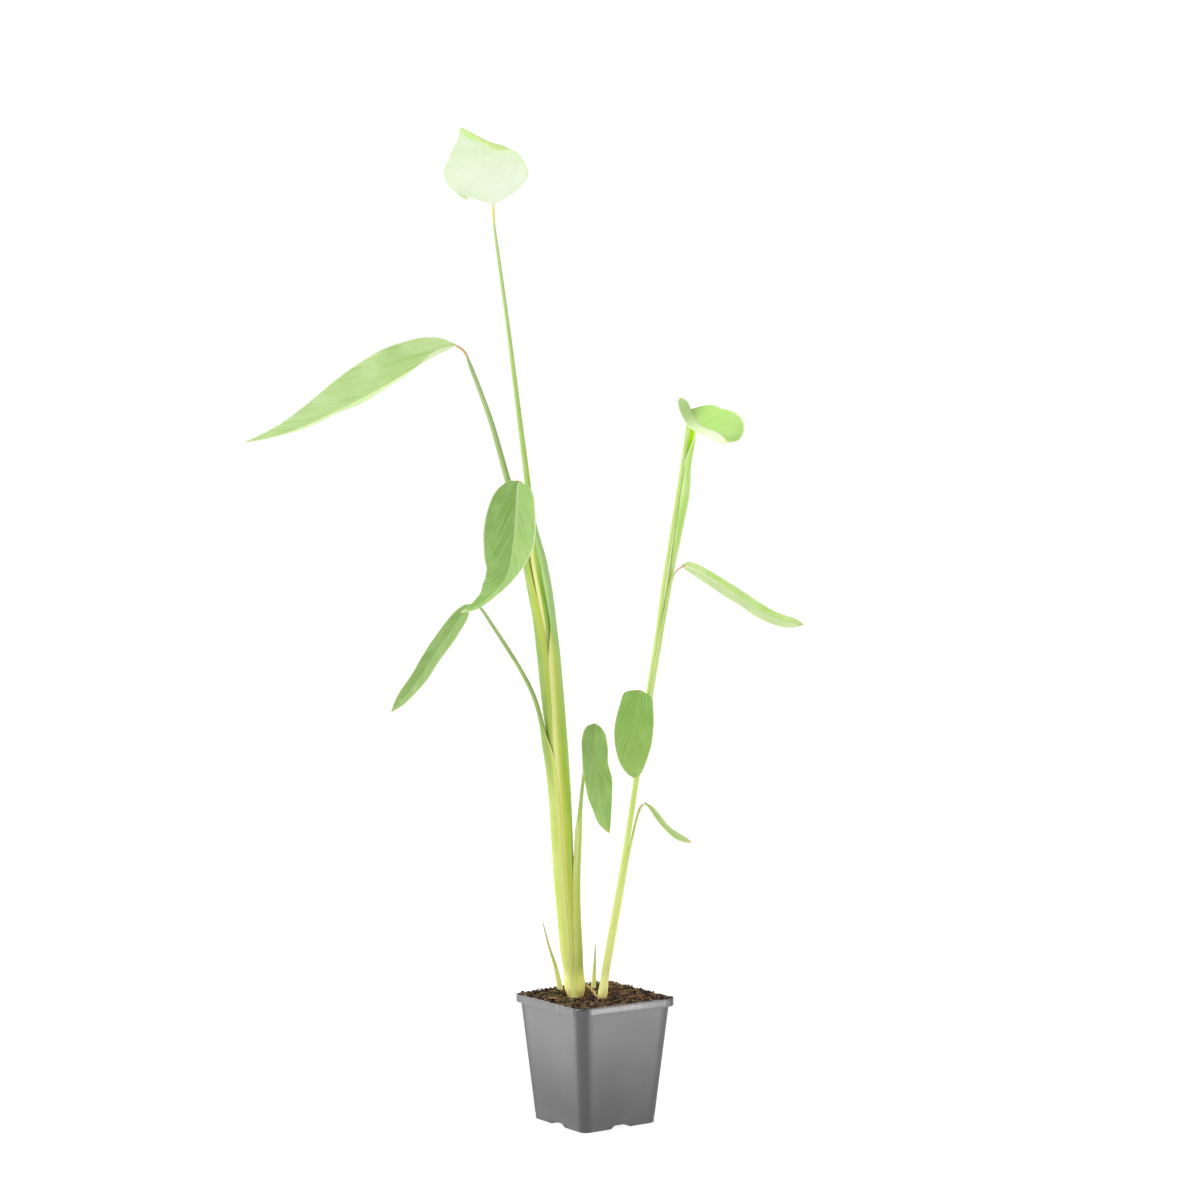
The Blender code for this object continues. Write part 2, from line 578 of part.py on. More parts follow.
def half_section(width, lift, bow, curl):
    # Places and slopes across one half of a blade, from the midrib to the margin
    def slope_at(reach):
        return math.radians(lift + bow * reach + curl * ease((reach - CURL_FROM) / (1 - CURL_FROM)))

    places, slopes = [(0.0, 0.0)], [math.radians(lift)]
    for near, far in zip(BLADE_SPREAD, BLADE_SPREAD[1:]):
        slope = slope_at((near + far) / 2)
        run = width * (far - near)
        across, up = places[-1]
        places.append((across + run * math.cos(slope), up + run * math.sin(slope)))
        slopes.append(slope_at(far))
    return places, slopes


def blade_half(leaf, sign, t, place, side, up):
    # The pairs of upper and lower points across one half, midrib first
    key = "left" if sign < 0 else "right"
    width = max(smooth_value(leaf[key], t), 0.5)
    turn = leaf[key + "_turn"]
    lift, bow, curl = (smooth_value(turn[name], t) for name in ("lift", "bow", "curl"))
    places, slopes = half_section(width, lift, bow, curl)
    size, count = leaf["waves"]
    widest = max(value for _, value in leaf[key])
    pairs = []
    for (across, high), slope, reach in zip(places, slopes, BLADE_SPREAD):
        wave = size * math.sin(2 * math.pi * count * t + sign) * reach ** 2 * width / widest
        normal = up
        if reach:
            normal = up * math.cos(slope) - side * (sign * math.sin(slope))
        spot = place + side * (sign * across) + up * high + normal * wave
        thick = BLADE_MIDRIB + (BLADE_MARGIN - BLADE_MIDRIB) * min(reach * 2.6, 1)
        pairs.append((spot + normal * thick / 2, spot - normal * thick / 2))
    return pairs


def blade(name, material, frame):
    leaf = BLADES[name]
    line = curve_through(leaf["midrib"], 2.0)
    along_line = directions_along(line)
    length = len(line) - 1
    facing = Vector(leaf["facing"])
    tops, bottoms = [], []
    for station in range(BLADE_STATIONS):
        t = (1 - math.cos(math.pi * station / (BLADE_STATIONS - 1))) / 2
        spot = t * length
        index = min(int(spot), length - 1)
        place = line[index].lerp(line[index + 1], spot - index)
        along = along_line[index].lerp(along_line[index + 1], spot - index).normalized()
        up = (facing - along * facing.dot(along)).normalized()
        side = along.cross(up)
        left = blade_half(leaf, -1, t, place, side, up)
        right = blade_half(leaf, 1, t, place, side, up)
        row = left[:0:-1] + right
        tops.append([upper for upper, lower in row])
        bottoms.append([lower for upper, lower in row])
    corners, faces = skin_sheet(tops, bottoms)
    return mesh_object(name + "_blade", corners, faces, material, frame)


def skin_sheet(tops, bottoms):
    # A closed sheet from two equal grids, cut into the same triangles on both faces
    rows, columns = len(tops), len(tops[0])
    corners = [corner for row in tops + bottoms for corner in row]
    under = rows * columns
    faces = []
    for row in range(rows - 1):
        for column in range(columns - 1):
            first = row * columns + column
            second = first + columns
            faces.append((first, first + 1, second + 1))
            faces.append((first, second + 1, second))
            faces.append((under + first, under + second + 1, under + first + 1))
            faces.append((under + first, under + second, under + second + 1))
    rim = list(range(columns - 1))
    rim += [row * columns + columns - 1 for row in range(rows - 1)]
    rim += [(rows - 1) * columns + column for column in range(columns - 1, 0, -1)]
    rim += [row * columns for row in range(rows - 1, 0, -1)]
    for first, second in zip(rim, rim[1:] + rim[:1]):
        faces.append((first, under + first, under + second))
        faces.append((first, under + second, second))
    return corners, faces


def rolled_leaf(material, frame):
    places = curve_through(ROLLED_ROUTE, STALK_STEP)
    rings = []
    for place in places:
        radius = value_at(ROLLED_RADIUS, place.z)
        start, end = value_at(ROLLED_START, place.z), value_at(ROLLED_END, place.z)
        middle = (start + end) / 2
        inner = max(radius - ROLLED_WALL, 0.35)
        rings.append(crescent_ring(place, middle, start, end, inner, ROLLED_WALL, ROLLED_WALL))
    corners, faces = skin_rings(rings)
    return mesh_object("rolled_leaf", corners, faces, material, frame)


def rod(name, route, radius_at, material, frame, step=6.0, sides=8):
    places = curve_through(route, step)
    last = len(places) - 1
    radii = [radius_at(count / last) for count in range(last + 1)]
    rings = round_rings(places, radii, Vector((1, 0, 0.2)), sides)
    corners, faces = skin_rings(rings)
    return mesh_object(name, corners, faces, material, frame)


def rounded_square(half, corner, height, steps=4):
    ring = []
    for quarter in range(4):
        for count in range(steps + 1):
            turn = math.radians(90 * quarter + 90 * count / steps)
            middle = math.radians(45 + 90 * quarter)
            x = math.copysign(half - corner, math.cos(middle)) + corner * math.cos(turn)
            y = math.copysign(half - corner, math.sin(middle)) + corner * math.sin(turn)
            ring.append(Vector((x, y, height)))
    return ring


def outer_half(height):
    share = height / (POT_HEIGHT - RIM_BAND)
    return BODY_BASE_HALF + (BODY_TOP_HALF - BODY_BASE_HALF) * share


def outer_corner(height):
    share = height / (POT_HEIGHT - RIM_BAND)
    return BASE_CORNER + (BODY_CORNER - BASE_CORNER) * share


def channel_block(name, side, grow, out_to, in_to, height):
    # A bar with slanted ends across one edge of the floor, from out_to inwards to in_to
    low = CHANNEL_WIDTH / 2 + grow
    high = low - CHANNEL_SLANT
    bottom = -1.0 if grow == 0 else 0.2
    ring = [(-low, bottom), (low, bottom), (low, 0.2), (high, height), (-high, height), (-low, 0.2)]
    if grow:
        ring = [ring[0], ring[1], ring[3], ring[4]]
    rings = [[Vector((across, -distance, up)) for across, up in ring]
             for distance in (in_to, out_to)]
    corners, faces = skin_rings(rings, paired_caps=False)
    item = mesh_object(name, corners, faces, None, smooth=False)
    item.rotation_euler.z = math.radians(90 * side)
    return cutter(item)


def join_with(item, others, operation, name):
    group = bpy.data.collections.new(name)
    for other in others:
        group.objects.link(other)
        bpy.context.scene.collection.objects.unlink(other)
    bpy.context.scene.collection.children.link(group)
    change = item.modifiers.new(name, "BOOLEAN")
    change.operation = operation
    change.operand_type = "COLLECTION"
    change.collection = group
    change.solver = "EXACT"


def pot(material):
    under = POT_HEIGHT - RIM_BAND
    crease = outer_half(CREASE_HEIGHT)
    lip = RIM_HALF - RIM_LIP
    lip_corner = RIM_CORNER - RIM_LIP
    neck = BODY_TOP_HALF - POT_WALL
    neck_corner = BODY_CORNER - POT_WALL
    outside = [
        (outer_half(0) - EDGE_ROUND, BASE_CORNER - EDGE_ROUND, 0),
        (outer_half(EDGE_ROUND), BASE_CORNER, EDGE_ROUND),
        (crease - CREASE_STEP, outer_corner(CREASE_HEIGHT), CREASE_HEIGHT),
        (crease, outer_corner(CREASE_HEIGHT), CREASE_HEIGHT + EDGE_ROUND),
        (BODY_TOP_HALF, BODY_CORNER, under),
        (RIM_HALF - EDGE_ROUND, RIM_CORNER - EDGE_ROUND, under + EDGE_ROUND / 5),
        (RIM_HALF, RIM_CORNER, under + EDGE_ROUND), (RIM_HALF, RIM_CORNER, POT_HEIGHT - EDGE_ROUND),
        (RIM_HALF - EDGE_ROUND, RIM_CORNER - EDGE_ROUND, POT_HEIGHT),
    ]
    inside = [
        (lip, lip_corner, POT_HEIGHT),
        (lip - EDGE_ROUND, lip_corner - EDGE_ROUND, POT_HEIGHT - EDGE_ROUND),
        (neck + EDGE_ROUND, neck_corner + EDGE_ROUND, under + RIM_SLOPE),
        (neck, neck_corner, under - RIM_SLOPE),
        (outer_half(FLOOR) - POT_WALL, BASE_CORNER - POT_WALL, FLOOR),
    ]
    rings = [rounded_square(*ring) for ring in outside + inside]
    corners, faces = skin_rings(rings, paired_caps=False)
    item = mesh_object("pot", corners, faces, material)
    roofs, channels = [], []
    wall = outer_half(0)
    for side in range(4):
        roofs.append(channel_block(f"channel_roof_{side}", side, POT_WALL, wall - 0.6,
                                   wall - CHANNEL_DEPTH - POT_WALL, CHANNEL_HEIGHT + POT_WALL))
        channels.append(channel_block(f"channel_{side}", side, 0, wall + 2,
                                      wall - CHANNEL_DEPTH, CHANNEL_HEIGHT))
        drain_rings = []
        for height in (CHANNEL_HEIGHT - 0.5, CHANNEL_HEIGHT + POT_WALL + 1):
            turns = [math.radians(30 * count + 15) for count in range(12)]
            drain_rings.append([Vector((DRAIN_RADIUS * math.cos(turn),
                                        DRAIN_RADIUS * math.sin(turn) - wall + CHANNEL_DEPTH / 2 + 1,
                                        height)) for turn in turns])
        corners, faces = skin_rings(drain_rings, paired_caps=False)
        drain = cutter(mesh_object(f"drain_{side}", corners, faces, None, smooth=False))
        drain.rotation_euler.z = math.radians(90 * side)
        channels.append(drain)
    join_with(item, roofs, "UNION", "channel_roofs")
    join_with(item, channels, "DIFFERENCE", "drainage")
    return item


def square_reach(turn, half, corner):
    # How far the rounded square's outline lies from its middle in the given direction
    x, y = sorted((abs(math.cos(turn)), abs(math.sin(turn))))
    reach = half / y
    if reach * x <= half - corner:
        return reach
    centre = half - corner
    along = (x + y) * centre
    return along + math.sqrt(along ** 2 - 2 * centre ** 2 + corner ** 2)


def soil_height(x, y, edge):
    # Edge is 0 in the middle of the pot and 1 at its wall
    crumb = noise.noise(Vector((x, y, 3.0)) / SOIL_CRUMB_SIZE)
    crumb += 0.5 * noise.noise(Vector((x, y, 9.0)) * 2.3 / SOIL_CRUMB_SIZE)
    back = ease((x + y + 60) / 150)
    settle = 0.5 + 0.5 * ease(6 * (1 - edge))
    return SOIL_EDGE_HEIGHT + (SOIL_BACK_RISE * back + SOIL_CRUMB * crumb) * settle


def soil(material, stems):
    rings = []
    turns = [2 * math.pi * count / SOIL_SPOKES for count in range(SOIL_SPOKES)]

    def ring_at(half, corner, height):
        return [Vector((math.cos(turn), math.sin(turn), 0)) * square_reach(turn, half, corner)
                + Vector((0, 0, height)) for turn in turns]

    under = POT_HEIGHT - RIM_BAND
    inside = POT_WALL + SOIL_CLEARANCE
    floor = FLOOR + GAP
    rings.append(ring_at(outer_half(floor) - inside, BASE_CORNER - inside, floor))
    rings.append(ring_at(outer_half(under - 2) - inside, BODY_CORNER - inside, under - 2))
    for count in range(SOIL_RINGS):
        share = 1 - count / SOIL_RINGS
        flat = ring_at(SOIL_EDGE_HALF * share, (BODY_CORNER - inside) * share, 0)
        rings.append([Vector((spot.x, spot.y, soil_height(spot.x, spot.y, share)))
                      for spot in flat])
    corners, faces = skin_rings(rings, paired_caps=False)
    faces.pop()
    last = len(corners) - SOIL_SPOKES
    corners.append(Vector((0, 0, soil_height(0, 0, 0))))
    for count in range(SOIL_SPOKES):
        faces.append((last + count, last + (count + 1) % SOIL_SPOKES, len(corners) - 1))
    item = mesh_object("soil", corners, faces, material)
    roofs = []
    wall = outer_half(0)
    for side in range(4):
        roofs.append(channel_block(f"roof_space_{side}", side, POT_WALL + 0.5, wall + 1,
                                   wall - CHANNEL_DEPTH - POT_WALL - 0.5,
                                   CHANNEL_HEIGHT + POT_WALL + 0.4))
    join_with(item, stems + roofs, "DIFFERENCE", "soil_spaces")
    return item


def stem_hole(name, route, radii, frame):
    # A plain round hole for a stem: rings at the given heights round the stem's middle line
    middle = [Vector(point) for point in route]
    turns = [2 * math.pi * count / HOLE_SIDES for count in range(HOLE_SIDES)]
    rings = []
    for height, radius in radii:
        centre = point_at_height(middle, height)
        rings.append([centre + Vector((math.cos(turn), math.sin(turn), 0)) * radius
                      for turn in turns])
    corners, faces = skin_rings(rings, paired_caps=False)
    return cutter(mesh_object(name, corners, faces, None, frame, smooth=False))


def main():
    clear_scene()
    plastic = surface("black_plastic", (0.035, 0.036, 0.038, 1), 0.4)
    peat = surface("peat", (0.045, 0.025, 0.014, 1), 0.95)
    tan = surface("dry_root", (0.50, 0.33, 0.14, 1), 0.8)
    stalk_green = surface("stalk_green", GREEN["stalk"], 0.5)
    blade_green = surface("blade_green", GREEN["blade"], 0.5)
    pale_green = surface("pale_blade_green", GREEN["pale_blade"], 0.55)
    young_green = surface("young_green", GREEN["young"], 0.5)

    frame = bpy.data.objects.new("plant_frame", None)
    bpy.context.scene.collection.objects.link(frame)
    frame.rotation_euler.z = math.radians(PLANT_TURN)

    middles = {"main": curve_through(MAIN_ROUTE, 4.0), "second": curve_through(SECOND_ROUTE, 4.0)}
    pot(plastic)
    core_stalk("leaf_a", MAIN_ROUTE, MAIN_RADIUS, stalk_green, frame)
    core_stalk("leaf_f", SECOND_ROUTE, SECOND_RADIUS, stalk_green, frame)
    for name in STALKS:
        sheathed_stalk(name, middles[SHEATHS[name]["shoot"]], stalk_green, frame)
    for name in BLADES:
        blade(name, pale_green if name == "leaf_a" else blade_green, frame)
    rolled_leaf(young_green, frame)
    holes = [
        stem_hole("main_hole", MAIN_ROUTE,
                  [(STEM_FOOT - HOLE_BELOW, 8.7), (88, 9.0), (94, 10.0), (106, 10.1)], frame),
        stem_hole("second_hole", SECOND_ROUTE,
                  [(STEM_FOOT + 2 - HOLE_BELOW, 4.7), (88, 5.3), (96, 5.8), (106, 5.8)], frame),
    ]
    for name, sprout in SPROUTS.items():
        rod(name, sprout["route"], lambda share: value_at(sprout["width"], share), young_green,
            frame)
        holes.append(stem_hole(name + "_hole", sprout["route"],
                               [(SPROUT_FOOT - HOLE_BELOW, 2.7), (92, 2.9), (106, 2.9)], frame))
    rod("surface_root", ROOT_ROUTE, lambda share: ROOT_RADIUS * (1 - 0.35 * share), tan, frame,
        step=2.5)
    before, last = (Vector(point) for point in ROOT_ROUTE[-2:])
    groove = rod("root_groove", ROOT_ROUTE + [last.lerp(before, -0.4)],
                 lambda share: ROOT_RADIUS + HOLE_CLEARANCE, None, frame, step=2.5)
    holes.append(cutter(groove))
    soil(peat, holes)


main()
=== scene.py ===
# A young thalia in a square nursery pot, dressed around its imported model.
# Lengths in the tables are millimetres and angles are degrees. The plant's tables are in its own
# face frame: +X is the plant's right, +Y its back, +Z up. The pot stands square to the world.
import math
import random
from functools import partial

import bmesh
import bpy
from mathutils import Matrix, Vector, noise
from mathutils.bvhtree import BVHTree


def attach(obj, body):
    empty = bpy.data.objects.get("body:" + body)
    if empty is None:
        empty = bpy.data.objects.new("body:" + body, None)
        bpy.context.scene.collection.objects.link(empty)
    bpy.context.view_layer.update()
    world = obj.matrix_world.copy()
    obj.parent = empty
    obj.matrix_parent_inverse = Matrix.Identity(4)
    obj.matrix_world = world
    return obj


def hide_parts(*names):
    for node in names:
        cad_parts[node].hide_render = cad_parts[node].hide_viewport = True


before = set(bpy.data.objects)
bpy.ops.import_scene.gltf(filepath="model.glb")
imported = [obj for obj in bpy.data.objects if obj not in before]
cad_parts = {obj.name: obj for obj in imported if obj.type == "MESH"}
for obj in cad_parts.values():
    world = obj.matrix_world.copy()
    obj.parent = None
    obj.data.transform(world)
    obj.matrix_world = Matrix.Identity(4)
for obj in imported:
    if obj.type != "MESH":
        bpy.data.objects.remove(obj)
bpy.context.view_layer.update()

mm = 0.001
plantPlace = Matrix.Rotation(math.radians(-35.55), 4, "Z") @ Matrix.Scale(mm, 4)
potPlace = Matrix.Scale(mm, 4)
plantTurn = plantPlace.to_3x3().normalized()

studio = dict(
    lens=69.234, sensor=36.0, eye=(4.09, -1746.5, 393.35),
    floorHalf=60000, floorColour="#898989", floorGlow=0.88,
    skyBright=1.05, skyDim=0.3,  # behind the plant, and behind the camera
    skyAxis=(0.45, -0.89, 0), skyFrom=-0.2, skyTo=0.6,
    boxes=dict(  # soft boxes: place, what they point at, width and watts
        leftBox=((-1400, -700, 900), (0, 0, 350), 1000, 11.0),
        rightBox=((1400, -500, 500), (0, 0, 250), 800, 3.6),
        topBox=((-300, 200, 1900), (0, 0, 400), 1200, 6.0),
        cornerBox=((480, -210, 34), (8, -50, 92), 62, 0.16),  # the glint on the pot's rim
    ),
)


def hexColour(code):
    # An sRGB hex code as a linear colour
    parts = [int(code[index:index + 2], 16) / 255 for index in (1, 3, 5)]
    return tuple(part / 12.92 if part <= 0.04045 else ((part + 0.055) / 1.055) ** 2.4
                 for part in parts) + (1.0,)


# The setting that each kind's main choice goes to, and kinds of node that are used often
choices = dict(Math="operation", VectorMath="operation", MapRange="interpolation_type",
               Mix="data_type", UVMap="uv_map")
times = "Math MULTIPLY"
timesAdd = "Math MULTIPLY_ADD"
soft = "MapRange SMOOTHSTEP"  # takes a value smoothly from one range to another, or to 0..1
mix = "Mix RGBA"


def addNode(tree, kind, *values, out=0, stops=(), **named):
    # A shader node, its kind followed by its main choice. Values go to its sockets in order or
    # by name: numbers, vectors, hex colours and other nodes' outputs. Stops are a ramp's.
    kind, *choice = kind.split()
    node = tree.nodes.new("ShaderNode" + kind)
    for value in choice:
        setattr(node, choices[kind], value)
    pairs = list(zip([socket for socket in node.inputs if socket.enabled], values))
    pairs += [(node.inputs[name], value) for name, value in named.items()]
    for socket, value in pairs:
        if isinstance(value, bpy.types.NodeSocket):
            tree.links.new(value, socket)
        else:
            socket.default_value = hexColour(value) if isinstance(value, str) else value
    for index, (place, code) in enumerate(stops):
        elements = node.color_ramp.elements
        stop = elements[index] if index < len(elements) else elements.new(place)
        stop.position = place
        stop.color = hexColour(code)
    return [output for output in node.outputs if output.enabled][out]


def newSurface(name, **sockets):
    # A material, and the function that adds nodes to it
    surface = bpy.data.materials.new(name)
    surface.use_nodes = True
    shader = surface.node_tree.nodes["Principled BSDF"]
    for key, value in sockets.items():
        shader.inputs[key.replace("_", " ")].default_value = value
    return surface, partial(addNode, surface.node_tree)


def meshOf(name, shape):
    mesh = bpy.data.meshes.new(name)
    shape.to_mesh(mesh)
    shape.free()
    return mesh


def addObject(name, data):
    made = bpy.data.objects.new(name, data)
    bpy.context.scene.collection.objects.link(made)
    return made


# Camera, sky, soft boxes and floor

def buildCamera():
    lens = bpy.data.cameras.new("photoCamera")
    lens.lens, lens.sensor_width = studio["lens"], studio["sensor"]
    view = addObject("photoCamera", lens)
    level = Matrix.Rotation(math.radians(90), 4, "X")
    eye = Matrix.Translation(plantPlace @ Vector(studio["eye"]))
    view.matrix_world = eye @ plantTurn.to_4x4() @ level
    bpy.context.scene.camera = view
    bpy.context.scene.view_settings.view_transform = "Standard"


def buildSky():
    sky = bpy.data.worlds.new("studioSky")
    sky.use_nodes = True
    tree = sky.node_tree
    tree.nodes.clear()
    side = addNode(tree, "VectorMath DOT_PRODUCT", addNode(tree, "TexCoord"),
                   plantTurn @ Vector(studio["skyAxis"]))
    light = addNode(tree, "MapRange", side, studio["skyFrom"], studio["skyTo"],
                    studio["skyBright"], studio["skyDim"])
    back = addNode(tree, "Background", light, 1.0)
    world = tree.nodes.new("ShaderNodeOutputWorld")
    tree.links.new(back, world.inputs["Surface"])
    bpy.context.scene.world = sky


def buildBox(name, place, aim, width, power):
    lamp = bpy.data.lights.new(name, "AREA")
    lamp.size, lamp.energy = width * mm, power
    box = addObject(name, lamp)
    start, end = plantPlace @ Vector(place), plantPlace @ Vector(aim)
    box.location = start
    box.rotation_euler = (end - start).to_track_quat("-Z", "Y").to_euler()


def buildFloor():
    # White studio paper, lit from within so that it shows no edge and almost no shadow
    paper = newSurface("paperFloor", Roughness=0.9, Emission_Color=(1, 1, 1, 1),
                       Base_Color=hexColour(studio["floorColour"]),
                       Emission_Strength=studio["floorGlow"])[0]
    shape = bmesh.new()
    bmesh.ops.create_grid(shape, x_segments=1, y_segments=1, size=studio["floorHalf"] * mm)
    floor = addObject("studioFloor", meshOf("studioFloor", shape))
    floor.data.materials.append(paper)


buildCamera()
buildSky()
for name, box in studio["boxes"].items():
    buildBox(name, *box)
buildFloor()
print("studio ready")


# Lines, lists of values and shells that the pieces share

def valueAt(pairs, place):
    if place <= pairs[0][0]:
        return pairs[0][1]
    for (low, first), (high, second) in zip(pairs, pairs[1:]):
        if place <= high:
            return first + (second - first) * (place - low) / (high - low)
    return pairs[-1][1]


def smoothValue(pairs, place):
    # The value of a smooth curve through (place, value) pairs, or a number that never changes
    if isinstance(pairs, (int, float)):
        return pairs
    if place <= pairs[0][0]:
        return pairs[0][1]
    for index in range(len(pairs) - 1):
        low, first = pairs[index]
        high, second = pairs[index + 1]
        if place <= high:
            span = high - low
            t = (place - low) / span
            below, before = pairs[max(index - 1, 0)]
            above, after = pairs[min(index + 2, len(pairs) - 1)]
            leave = (second - before) / (high - below) * span
            arrive = (after - first) / (above - low) * span
            return ((2 * t ** 3 - 3 * t ** 2 + 1) * first + (t ** 3 - 2 * t ** 2 + t) * leave
                    + (3 * t ** 2 - 2 * t ** 3) * second + (t ** 3 - t ** 2) * arrive)
    return pairs[-1][1]


def ease(share):
    share = min(max(share, 0.0), 1.0)
    return share * share * (3 - 2 * share)


def lengthsAlong(points):
    lengths = [0.0]
    for first, second in zip(points, points[1:]):
        lengths.append(lengths[-1] + (second - first).length)
    return lengths


def curveThrough(points, step):
    # Evenly spaced points on the smooth curve through the given ones
    points = [Vector(point) for point in points]
    padded = [2 * points[0] - points[1]] + points + [2 * points[-1] - points[-2]]
    parts = 12
    fine = [points[0]]
    for before, start, end, after in zip(padded, padded[1:], padded[2:], padded[3:]):
        for count in range(1, parts + 1):
            t = count / parts
            fine.append(0.5 * (2 * start + (end - before) * t
                               + (2 * before - 5 * start + 4 * end - after) * t ** 2
                               + (3 * start - before - 3 * end + after) * t ** 3))
    lengths = lengthsAlong(fine)
    count = max(2, math.ceil(lengths[-1] / step))
    places = []
    index = 0
    for number in range(count + 1):
        target = lengths[-1] * number / count
        while index < len(fine) - 2 and lengths[index + 1] < target:
            index += 1
        share = (target - lengths[index]) / (lengths[index + 1] - lengths[index])
        places.append(fine[index].lerp(fine[index + 1], share))
    return places


def directionsAlong(places):
    ends = [places[0]] + places + [places[-1]]
    return [(after - before).normalized() for before, after in zip(ends, ends[2:])]


def pointAtHeight(places, height):
    for low, high in zip(places, places[1:]):
        if height <= high.z:
            break
    return low.lerp(high, (height - low.z) / (high.z - low.z))


def levelWay(degrees):
    # The level direction at this angle from +X
    return Vector((math.cos(math.radians(degrees)), math.sin(math.radians(degrees)), 0))


def shapeGrid(columns, rows, corners):
    # A sheet of faces. Each corner is its place, its share of the piece and its size in mm.
    shape = bmesh.new()
    share = shape.loops.layers.uv.new("share")
    size = shape.loops.layers.uv.new("size")
    bmesh.ops.create_grid(shape, x_segments=columns, y_segments=rows, size=0.5)
    for vert in shape.verts:
        corner = corners[round((vert.co.y + 0.5) * rows)][round((vert.co.x + 0.5) * columns)]
        vert.co = corner[0]
        for loop in vert.link_loops:
            loop[share].uv, loop[size].uv = corner[1:]
    return shape


def shapeTube(rings, insets=None):
    # A closed tube through equal rings. Its size map holds each corner's distance from the
    # nearest margin, which is the given inset, or far off where there is no margin.
    sides = len(rings[0])
    lengths = lengthsAlong([sum(ring, Vector()) / sides for ring in rings])
    corners = []
    for number, (ring, length) in enumerate(zip(rings, lengths)):
        depths = insets[number] if insets else [tubeShape["farInset"]] * sides
        row = [(spot, (index / sides, length / lengths[-1]), (depth, length))
               for index, (spot, depth) in enumerate(zip(ring, depths))]
        corners.append(row + [(ring[0], (1.0, row[0][1][1]), row[0][2])])
    shape = shapeGrid(sides, len(rings) - 1, corners)
    bmesh.ops.remove_doubles(shape, verts=shape.verts, dist=0.001)
    bmesh.ops.holes_fill(shape, edges=[edge for edge in shape.edges if edge.is_boundary])
    bmesh.ops.recalc_face_normals(shape, faces=shape.faces)
    return shape


def addShape(shape, other):
    spare = meshOf("spare", other)
    shape.from_mesh(spare)
    bpy.data.meshes.remove(spare)


def packedShape(node):
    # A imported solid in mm, its loose triangles merged
    shape = bmesh.new()
    shape.from_mesh(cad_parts[node].data)
    bmesh.ops.remove_doubles(shape, verts=shape.verts, dist=1e-6)
    shape.transform(Matrix.Scale(1 / mm, 4))
    return shape


def finishPiece(name, shape, place, surfaces, node, sharp=50):
    shape.transform(place)
    mesh = meshOf(name, shape)
    mesh.shade_smooth()
    mesh.set_sharp_from_angle(angle=math.radians(sharp))
    for surface in surfaces:
        mesh.materials.append(surface)
    piece = addObject(name, mesh)
    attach(piece, "root")
    if node:
        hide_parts(node)


# Surfaces of the plant

def uvParts(add, name):
    parts = add("SeparateXYZ", add("UVMap " + name)).node
    return parts.outputs["X"], parts.outputs["Y"]


def layered(add, colour, layers):
    for share, cover in layers:
        colour = add(mix, share, colour, cover)
    return colour


def noiseAt(add, x, y, z, detail=2.0):
    # Noise at a place made of three values
    return add("TexNoise", add("CombineXYZ", x, y, z), 1.0, detail, 0.55)


def dressed(surface, add, colour, relief=None, strength=0.0, depth=0.0, **others):
    # The surface with its colour, a relief up to depth mm deep and any other sockets linked
    tree = surface.node_tree
    others["Base_Color"] = colour
    if relief is not None:
        others["Normal"] = add("Bump", strength, depth * mm, Height=relief)
    for key, value in others.items():
        tree.links.new(value, tree.nodes["Principled BSDF"].inputs[key.replace("_", " ")])
    return surface


# What a blade's look says where its own table doesn't: lengths and widths are mm, veins slant
# this many times further along than aside, and the places are shares of the length or half width
plainBlade = dict(
    slant=2.2, streak=2.6, fine=0.8, veinGap=1.5, drift=2.5, cloud=(26, 20),
    streaked=0.45, darkened=0.5, farTo=0.95, edgeFrom=0.93, tipFrom=0.94,
    rib=1.1, ribTip=0.35, ribTo=1.2, ribShare=0.8, footTo=2.6, bump=0.55,
)


